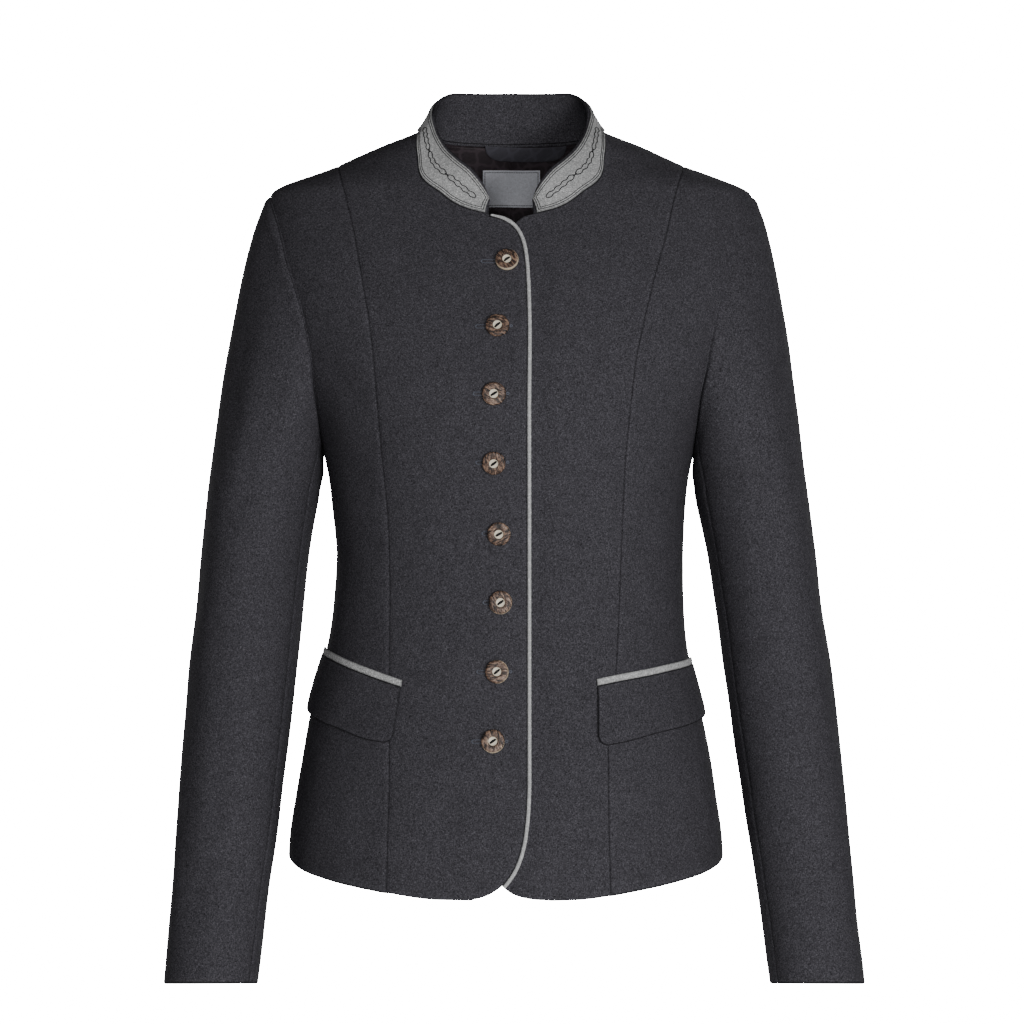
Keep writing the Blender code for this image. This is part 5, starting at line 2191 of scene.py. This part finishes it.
@dataclass
class NeckInside:
    """Back neck lining, hanging loop and blank label."""

    wardrobe: Wardrobe
    lining_row: int = 54
    lining_column: int = 22
    drop: float = 2.5
    clear: float = 0.6
    label_x: tuple[float, float] = (-23.3, 24.0)
    label_z: tuple[float, float] = (-22.5, -51.2)
    label_thick: float = 0.6
    label_stitches: Triple = (1.6, 1.1, 2.0)
    loop_x: tuple[float, float] = (-21.5, 46.0)
    loop_top: float = -3.8
    loop_sag: float = 0.8
    loop_height: float = 10.2
    loop_stand: float = 2.0
    loop_thick: float = 0.8

    @property
    def under(self) -> float:
        """Distance of the label and the loop from the body surface."""
        return -CLOTH - self.clear - LINING - 1.0

    def build(self) -> None:
        """Builds the three: the back surface moved in."""
        for side in Side:
            grid = back_grid(side)[:self.lining_row + 1, self.lining_column:]
            angle, z = grid[..., 0], grid[..., 1]
            ripple = 0.25 * np.sin(np.degrees(angle) / 5.0) * np.sin(z / 9.0)
            outer = body(angle, z, -CLOTH - self.clear - 0.3 - ripple)
            fall = self.drop * (np.arange(len(outer)) <= NECK_ROWS)
            outer[:, -1] += unit(outer[:, -3] - outer[:, -1]) * np.where(fall > 0, fall, 0.1)[:, None]
            outer[:, -2] += unit(outer[:, -4] - outer[:, -2]) * np.where(fall > 0, fall * 0.7, 0.05)[:, None]
            name, thick = f"lining_back_neck_{side.word}", LINING * 0.7
            piece = skin_wall(name, angle, z, outer, thick, [self.wardrobe.lining], 0.2)
            settle_cloth(piece, f"lining_back_{side.word}")
        self.add_label()
        self.add_loop()

    def add_label(self) -> None:
        """Adds the label, its lower edge a little free."""
        x = np.linspace(*self.label_x, 61)
        z = np.linspace(*self.label_z, 41)[:, None] + 0 * x
        turn = np.pi - angle_at(x + 0 * z, z)
        lift = 0.5 * np.linspace(0, 1, 41)[:, None] ** 2 + 0.15 * np.sin(x / 6.0)
        outer = body(turn, z, self.under + 0 * z - lift)
        piece = skin_wall("woven_label", turn, z, outer, self.label_thick, [self.wardrobe.label], 0.15)
        settle_cloth(piece, "label")
        self.stitch_label()

    def stitch_label(self) -> None:
        """Sews the label on with a line of dots near its edge."""
        inset, stitch, step = self.label_stitches
        low, high = self.label_z[1] + inset, self.label_z[0] - inset
        left, right = self.label_x[0] + inset, self.label_x[1] - inset
        wide, tall = np.arange(left, right, step), np.arange(low, high, step)
        across = [np.stack([wide, np.full_like(wide, z)], -1) for z in (low, high)]
        down = [np.stack([np.full_like(tall, x), tall], -1) for x in (left, right)]
        first, normal = self.on_back(np.concatenate(across + down))
        ends = [line + (stitch, 0) for line in across] + [line + (0, stitch) for line in down]
        last, _ = self.on_back(np.concatenate(ends))
        settle(threads("thread_label", first, last, -normal, 0.12, self.wardrobe.dark_thread))

    def on_back(self, places: Array) -> tuple[Array, Array]:
        """Points just on the label's face at (x, z), and the outward directions of the back there.

        Args:
            places: the places.

        Returns:
            Points, and unit vectors.
        """
        x, z = places.T
        turn = np.pi - angle_at(x, z)
        share = np.clip((self.label_z[0] - z) / (self.label_z[0] - self.label_z[1]), 0, 1)
        lift = 0.5 * share ** 2 + 0.15 * np.sin(x / 6.0)
        return body(turn, z, self.under - self.label_thick - lift - 0.02), skin_normal(turn, z)

    def add_loop(self) -> None:
        """Adds the hanging loop, which sags between its two ends."""
        share = np.linspace(0, 1, 91)
        x = self.loop_x[0] + (self.loop_x[1] - self.loop_x[0]) * share
        v = np.linspace(0, 1, 11)[:, None]
        from_end = (self.loop_x[1] - self.loop_x[0]) * np.minimum(share, 1 - share)
        tall = self.loop_height * (0.12 + 0.88 * np.sqrt(1 - (1 - np.clip(from_end / 13, 0, 1)) ** 2))
        z = self.loop_top - self.loop_sag * np.sin(np.pi * share) ** 0.8 - tall * v
        turn = np.pi - angle_at(x + 0 * z, z)
        out = self.under - self.loop_stand * np.sin(np.pi * share) - 0.3 * np.sin(np.pi * v) + 0 * z
        outer = body(turn, z, out)
        piece = skin_wall("cloth_hanger_loop", turn, z, outer, self.loop_thick, [self.wardrobe.loop], 0.3)
        settle_cloth(piece, "hanger_loop")


class SoftBox(NamedTuple):
    """An area light: its place and size in metres, and its power in watts."""

    name: str
    place: Triple
    width: float
    height: float
    power: float


LIGHTS = (
    SoftBox("key", (1.35, -3.1, -0.5), 0.9, 0.9, 62),
    SoftBox("front_fill", (-0.1, -3.4, -0.2), 0.7, 0.7, 32),
    SoftBox("top", (0.2, -0.6, 2.3), 2.0, 1.6, 3),
    SoftBox("back_key", (1.4, 2.9, 0.7), 1.8, 1.8, 52),
    SoftBox("back_fill", (-1.6, 2.7, 0.2), 1.8, 1.8, 34),
)


@dataclass
class Studio:
    """Plain pale floor, soft lights and the camera."""

    camera_place: Triple = (0.0008, -2.75, -0.304)
    lens: float = 120.85
    aim_z: float = -0.32
    floor_z: float = -0.95
    world_light: float = 0.05
    world_seen: float = 30.0

    def build(self) -> None:
        """Builds the studio."""
        self.add_camera()
        self.add_floor()
        self.add_world()
        for light in LIGHTS:
            self.add_light(light)

    def add_camera(self) -> None:
        """Adds the camera, level, looking along +Y."""
        data = bpy.data.cameras.new("camera")
        data.sensor_width = 36
        data.lens = self.lens
        data.clip_start = 0.05
        made = bpy.data.objects.new("camera", data)
        made.location = self.camera_place
        made.rotation_euler = (np.pi / 2, 0, 0)
        bpy.context.scene.collection.objects.link(made)
        bpy.context.scene.camera = made

    def add_floor(self) -> None:
        """Adds the floor: a disc of rings, its edge turned down a little."""
        turn = np.linspace(0, 2 * np.pi, 97)
        radius = np.array([0.002, 0.5, 1.0, 1.45, 1.49, 1.5])[:, None]
        drop = np.array([0, 0, 0, 0, 0.003, 0.012])[:, None]
        z = self.floor_z - drop + 0 * turn
        grid = np.stack([radius * np.cos(turn), radius * np.sin(turn), z], -1) / MM
        made = add_mesh("floor", grid.reshape(-1, 3), grid_quads(grid)[:, ::-1], [self.floor_finish()])

    def floor_finish(self) -> Material:
        """Pale matt floor with the faintest mottling.

        Returns:
            The material.
        """
        made = Surface("pale_floor", 0.7, 0.2)
        mottling = made.noise(made.object_place(), 3.0, 3.0)
        made.give("Base Color", made.ramp(mottling, ((0.0, (0.78, 0.78, 0.78)), (1.0, (0.84, 0.84, 0.84)))))
        return made.material

    def add_world(self) -> None:
        """Adds a pale surround: white to the camera, dimmer as light."""
        world = bpy.data.worlds.new("surround")
        world.use_nodes = True
        bench = Bench(world.node_tree)
        ground = world.node_tree.nodes["Background"]
        path = bench.add("LightPath")
        strength = bench.spread(path.outputs["Is Camera Ray"], 0.0, 1.0, self.world_light, self.world_seen)
        world.node_tree.links.new(strength, ground.inputs["Strength"])
        ground.inputs["Color"].default_value = (1, 1, 1, 1)
        bpy.context.scene.world = world

    def add_light(self, light: SoftBox) -> None:
        """Adds one soft box that faces the jacket's middle.

        Args:
            light: its place, size and power.
        """
        data = bpy.data.lights.new(light.name, "AREA")
        data.shape = "RECTANGLE"
        data.size, data.size_y, data.energy = light.width, light.height, light.power
        made = bpy.data.objects.new(light.name, data)
        made.location = light.place
        aim = Vector((0, 0, self.aim_z)) - Vector(light.place)
        made.rotation_euler = aim.to_track_quat("-Z", "Y").to_euler()
        bpy.context.scene.collection.objects.link(made)


def main() -> None:
    """Builds the studio and the jacket."""
    logging.basicConfig(level=logging.INFO, format="%(message)s")
    Studio().build()
    wardrobe = Wardrobe()
    panels = BodyPanels(wardrobe)
    panels.build_fronts()
    panels.build_backs()
    Sleeves(wardrobe).build()
    Collar(wardrobe).build()
    Piping(wardrobe).build()
    Pockets(wardrobe).build()
    Buttons(wardrobe).build()
    NeckInside(wardrobe).build()


if __name__ == "__main__":
    main()
